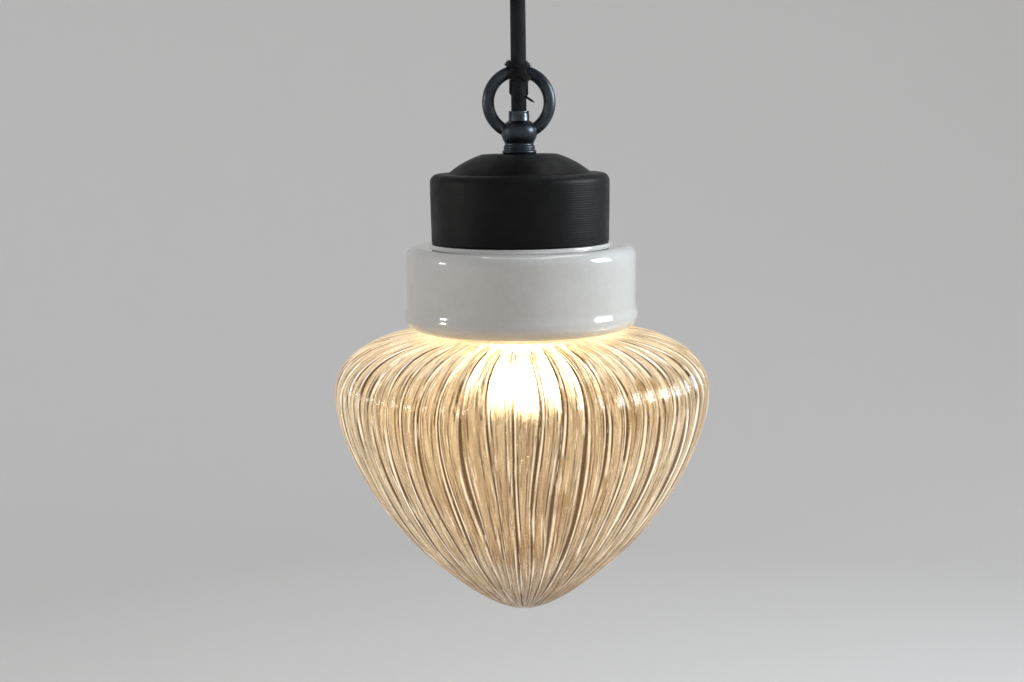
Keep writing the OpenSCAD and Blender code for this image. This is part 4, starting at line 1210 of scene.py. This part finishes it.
def globe_material():
    """Frosted bulb glass, lit: white hot in its middle, softer at its rim and warm at its neck."""
    material, tree, shader, place = new_material(
        "bulb_glass", Roughness=0.35, Emission_Strength=GLOBE_STRENGTH)
    height = split(tree, place)[2]
    level = remap(tree, height, foot_of("bulb_globe") * MM, GLOBE_NECK_Z * MM, 0.0, 1.0)
    cloud = number(tree, "MULTIPLY_ADD", noise(tree, place, 90.0, 3.0), 0.12, level)
    rim = tree.nodes.new("ShaderNodeLayerWeight").outputs["Facing"]
    shine = ramp(tree, rim, [(0.0, 1.0), (0.07, 0.5), (0.18, 0.12), (0.45, 0.03), (0.85, 0.008)])
    hot = ramp(tree, cloud, [(0.0, (1.0, 0.86, 0.62)), (0.35, (1.0, 0.9, 0.72)), (0.7, (1.0, 0.86, 0.62)),
                             (1.0, (0.9, 0.62, 0.34))])
    feed(tree, shader, Emission_Color=blended(tree, 1.0, hot, shine, "MULTIPLY"),
         Base_Color=ramp(tree, cloud, [(0.0, (0.9, 0.88, 0.84)), (1.0, (0.82, 0.8, 0.76))]))
    return material


dress(holder_shell(), BRASS, "pendant", "brass", "holder_shell")
dress(bulb_cap(), BULB_METAL, "bulb", "bulb_metal", "bulb_cap")
dress(bulb_globe(), globe_material(), "bulb", "bulb_glass", "bulb_globe")


# ---------------------------------------------------------------- ceiling fitting


CUP_EDGE = 8
CUP_WALL = 1.6


def ceiling_cup():
    """Spun cup with a rounded edge, drilled for its two side screws and the grip."""
    z, x, edge_z = CUP_Z, CUP_R - CUP_EDGE, CUP_Z + CUP_EDGE
    cup = turned("ceiling_cup", joined(
        [(5.05, z + 0.2), (5.3, z)], arc(x, edge_z, CUP_EDGE, -90, 0, 14),
        [(CUP_R, -0.5), (CUP_R - 0.3, 0), (CUP_R - 1.4, 0), (CUP_R - CUP_WALL, -0.4)],
        arc(x, edge_z, CUP_EDGE - CUP_WALL, 0, -90, 14),
        [(5.3, z + CUP_WALL), (5.05, z + 1.4), (5.05, z + 0.2)]), steps=192)
    return smooth(drilled(cup, 2.05, 110, (0, 0, CUP_Z + 24), (0, math.pi / 2, 0)), 35)


def cord_grip():
    """Turned grip with a turned-in line, a rounded mouth and a seat for the bush."""
    top, neck, seat, foot, r = CUP_Z + 8, CUP_Z, CUP_Z - 7.4, PIVOT_Z, GRIP_R
    grip = turned("cord_grip", joined(
        [(3.9, top - 0.2), (4.1, top), (4.75, top), (4.95, top - 0.3), (4.95, neck), (r - 0.3, neck),
         (r, neck - 0.3), (r, seat + 0.8), (r - 0.25, seat + 0.5), (r - 0.25, seat), (r, seat - 0.3)],
        arc(r - 1.5, foot + 1.5, 1.5, 0, -90, 8),
        [(6.1, foot + 0.1), (6.1, seat), (3.9, seat), (3.9, top - 0.2)]), steps=96)
    return smooth(drilled(grip, 1.55, 10, (0, 5, CUP_Z - 3.5), LEVEL), 35)


CUP_PAINT = moulded_material("cup_paint", (0.015, 0.015, 0.016), (0.028, 0.028, 0.03), (0.3, 0.44),
                             grain=0.00003, grain_scale=2200.0, Coat_Weight=0.15)
dress(ceiling_cup(), CUP_PAINT, "ceiling", "black_paint", "ceiling_cup")
dress(cord_grip(), CUP_PAINT, "ceiling", "black_paint", "cord_grip")

# The finish of each piece whose solid stays in view or inside
CAD_LOOKS = {
    metal_material("zinced_steel", (0.42, 0.43, 0.42), (0.6, 0.6, 0.57), (0.24, 0.44), scale=200.0):
        ["ceiling_bracket", "cup_screws", "terminal_screw", "grip_nut", "grip_screw", "tube_washer",
         "fixing_strap", "collar_screws", "collar_nuts", "holder_screws"],
    BRASS: ["terminal_clamps", "tube_nuts", "holder_terminals", "centre_contact"],
    moulded_material("white_plastic", (0.66, 0.65, 0.6), (0.76, 0.75, 0.71), (0.3, 0.45)):
        ["terminal_block", "cord_clamp"],
    WHITE_GLAZE: ["holder_body"],
    moulded_material("rubber", (0.012, 0.012, 0.012), (0.026, 0.025, 0.024), (0.55, 0.75), grain=0.00004):
        ["grip_bush"],
    # The gasket's warm emission is a painted glow of the bulb's light shining through it; the gasket is no
    # lamp.
    moulded_material("clear_silicone_painted_glow", (0.86, 0.74, 0.5), (0.95, 0.86, 0.66), (0.35, 0.5),
                     Subsurface_Weight=0.6, Subsurface_Scale=0.003, Emission_Strength=0.5,
                     Emission_Color=(1.0, 0.78, 0.5)): ["shade_gasket"],
    BULB_METAL: ["bulb_tip"],
    moulded_material("red_fibre", (0.16, 0.035, 0.02), (0.27, 0.07, 0.04), (0.6, 0.8), grain=0.00005):
        ["collar_washers"],
    moulded_material("brown_core", (0.10, 0.035, 0.015), (0.15, 0.055, 0.025), (0.3, 0.45)):
        ["ceiling_cores"],
    moulded_material("blue_core", (0.02, 0.07, 0.24), (0.035, 0.11, 0.34), (0.3, 0.45)): ["lamp_cores"],
    moulded_material("black_glass", (0.01, 0.01, 0.012), (0.02, 0.02, 0.022), (0.08, 0.2),
                     Coat_Weight=0.5): ["bulb_insulator"],
    moulded_material("stem_glass", (0.8, 0.8, 0.77), (0.88, 0.88, 0.86), (0.05, 0.12)): ["bulb_stem"],
    moulded_material("hot_wire", (0.9, 0.5, 0.2), (1.0, 0.7, 0.4), (0.3, 0.5), Emission_Strength=8.0,
                     Emission_Color=(1.0, 0.75, 0.45)): ["bulb_filament"],
    yarn_material("textile_end", (0.008, 0.008, 0.009), (0.05, 0.05, 0.052), 1500.0, 0.3):
        ["ceiling_cord_end"],
}
for finish, nodes in CAD_LOOKS.items():
    for node in nodes:
        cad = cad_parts[node]
        cad.data.materials.clear()
        cad.data.materials.append(finish)


# ---------------------------------------------------------------- stage and light


LIT_PLACE = (0, 0, -200)
FLOOR_Z = -750
FLOOR_R = 1400
WALL_CURVE = 800


def backdrop():
    """Pale floor that curves up into a wall all round the lamp."""
    stage = turned("backdrop", [(0.001, FLOOR_Z), (FLOOR_R, FLOOR_Z)]
                   + arc(FLOOR_R, FLOOR_Z + WALL_CURVE, WALL_CURVE, -90, 0, 16)
                   + [(FLOOR_R + WALL_CURVE, FLOOR_Z + WALL_CURVE + 850)], steps=96, angle=60, inside=True)
    stage.data.materials.append(new_material("backdrop", Base_Color=(0.78, 0.76, 0.74), Roughness=0.9,
                                             Specular_IOR_Level=0.1)[0])


def area_light(name, location, size, power, colour):
    """A square lamp of a size in millimetres that faces the middle of the object."""
    bpy.ops.object.light_add(type="AREA", location=mm(*location))
    lamp = named(name)
    lamp.data.size = size * MM
    lamp.data.energy = power
    lamp.data.color = colour
    lamp.rotation_euler = (Vector(mm(*LIT_PLACE)) - lamp.location).to_track_quat("-Z", "Y").to_euler()


def world_light(colour, strength):
    world = bpy.data.worlds.new("studio")
    world.use_nodes = True
    ground = next(n for n in world.node_tree.nodes if n.type == "BACKGROUND")
    ground.inputs["Color"].default_value = (*colour, 1)
    ground.inputs["Strength"].default_value = strength
    bpy.context.scene.world = world


backdrop()
area_light("window_light", (1350, -60, 260), 520, 20.0, (0.84, 0.93, 1.0))
area_light("left_fill", (-1300, -200, 40), 160, 2.5, (1.0, 0.96, 0.92))
area_light("top_light", (100, 300, 1000), 900, 6.0, (1.0, 0.99, 0.97))
world_light((0.93, 0.95, 1.0), 0.38)
bpy.context.scene.view_settings.view_transform = "Standard"
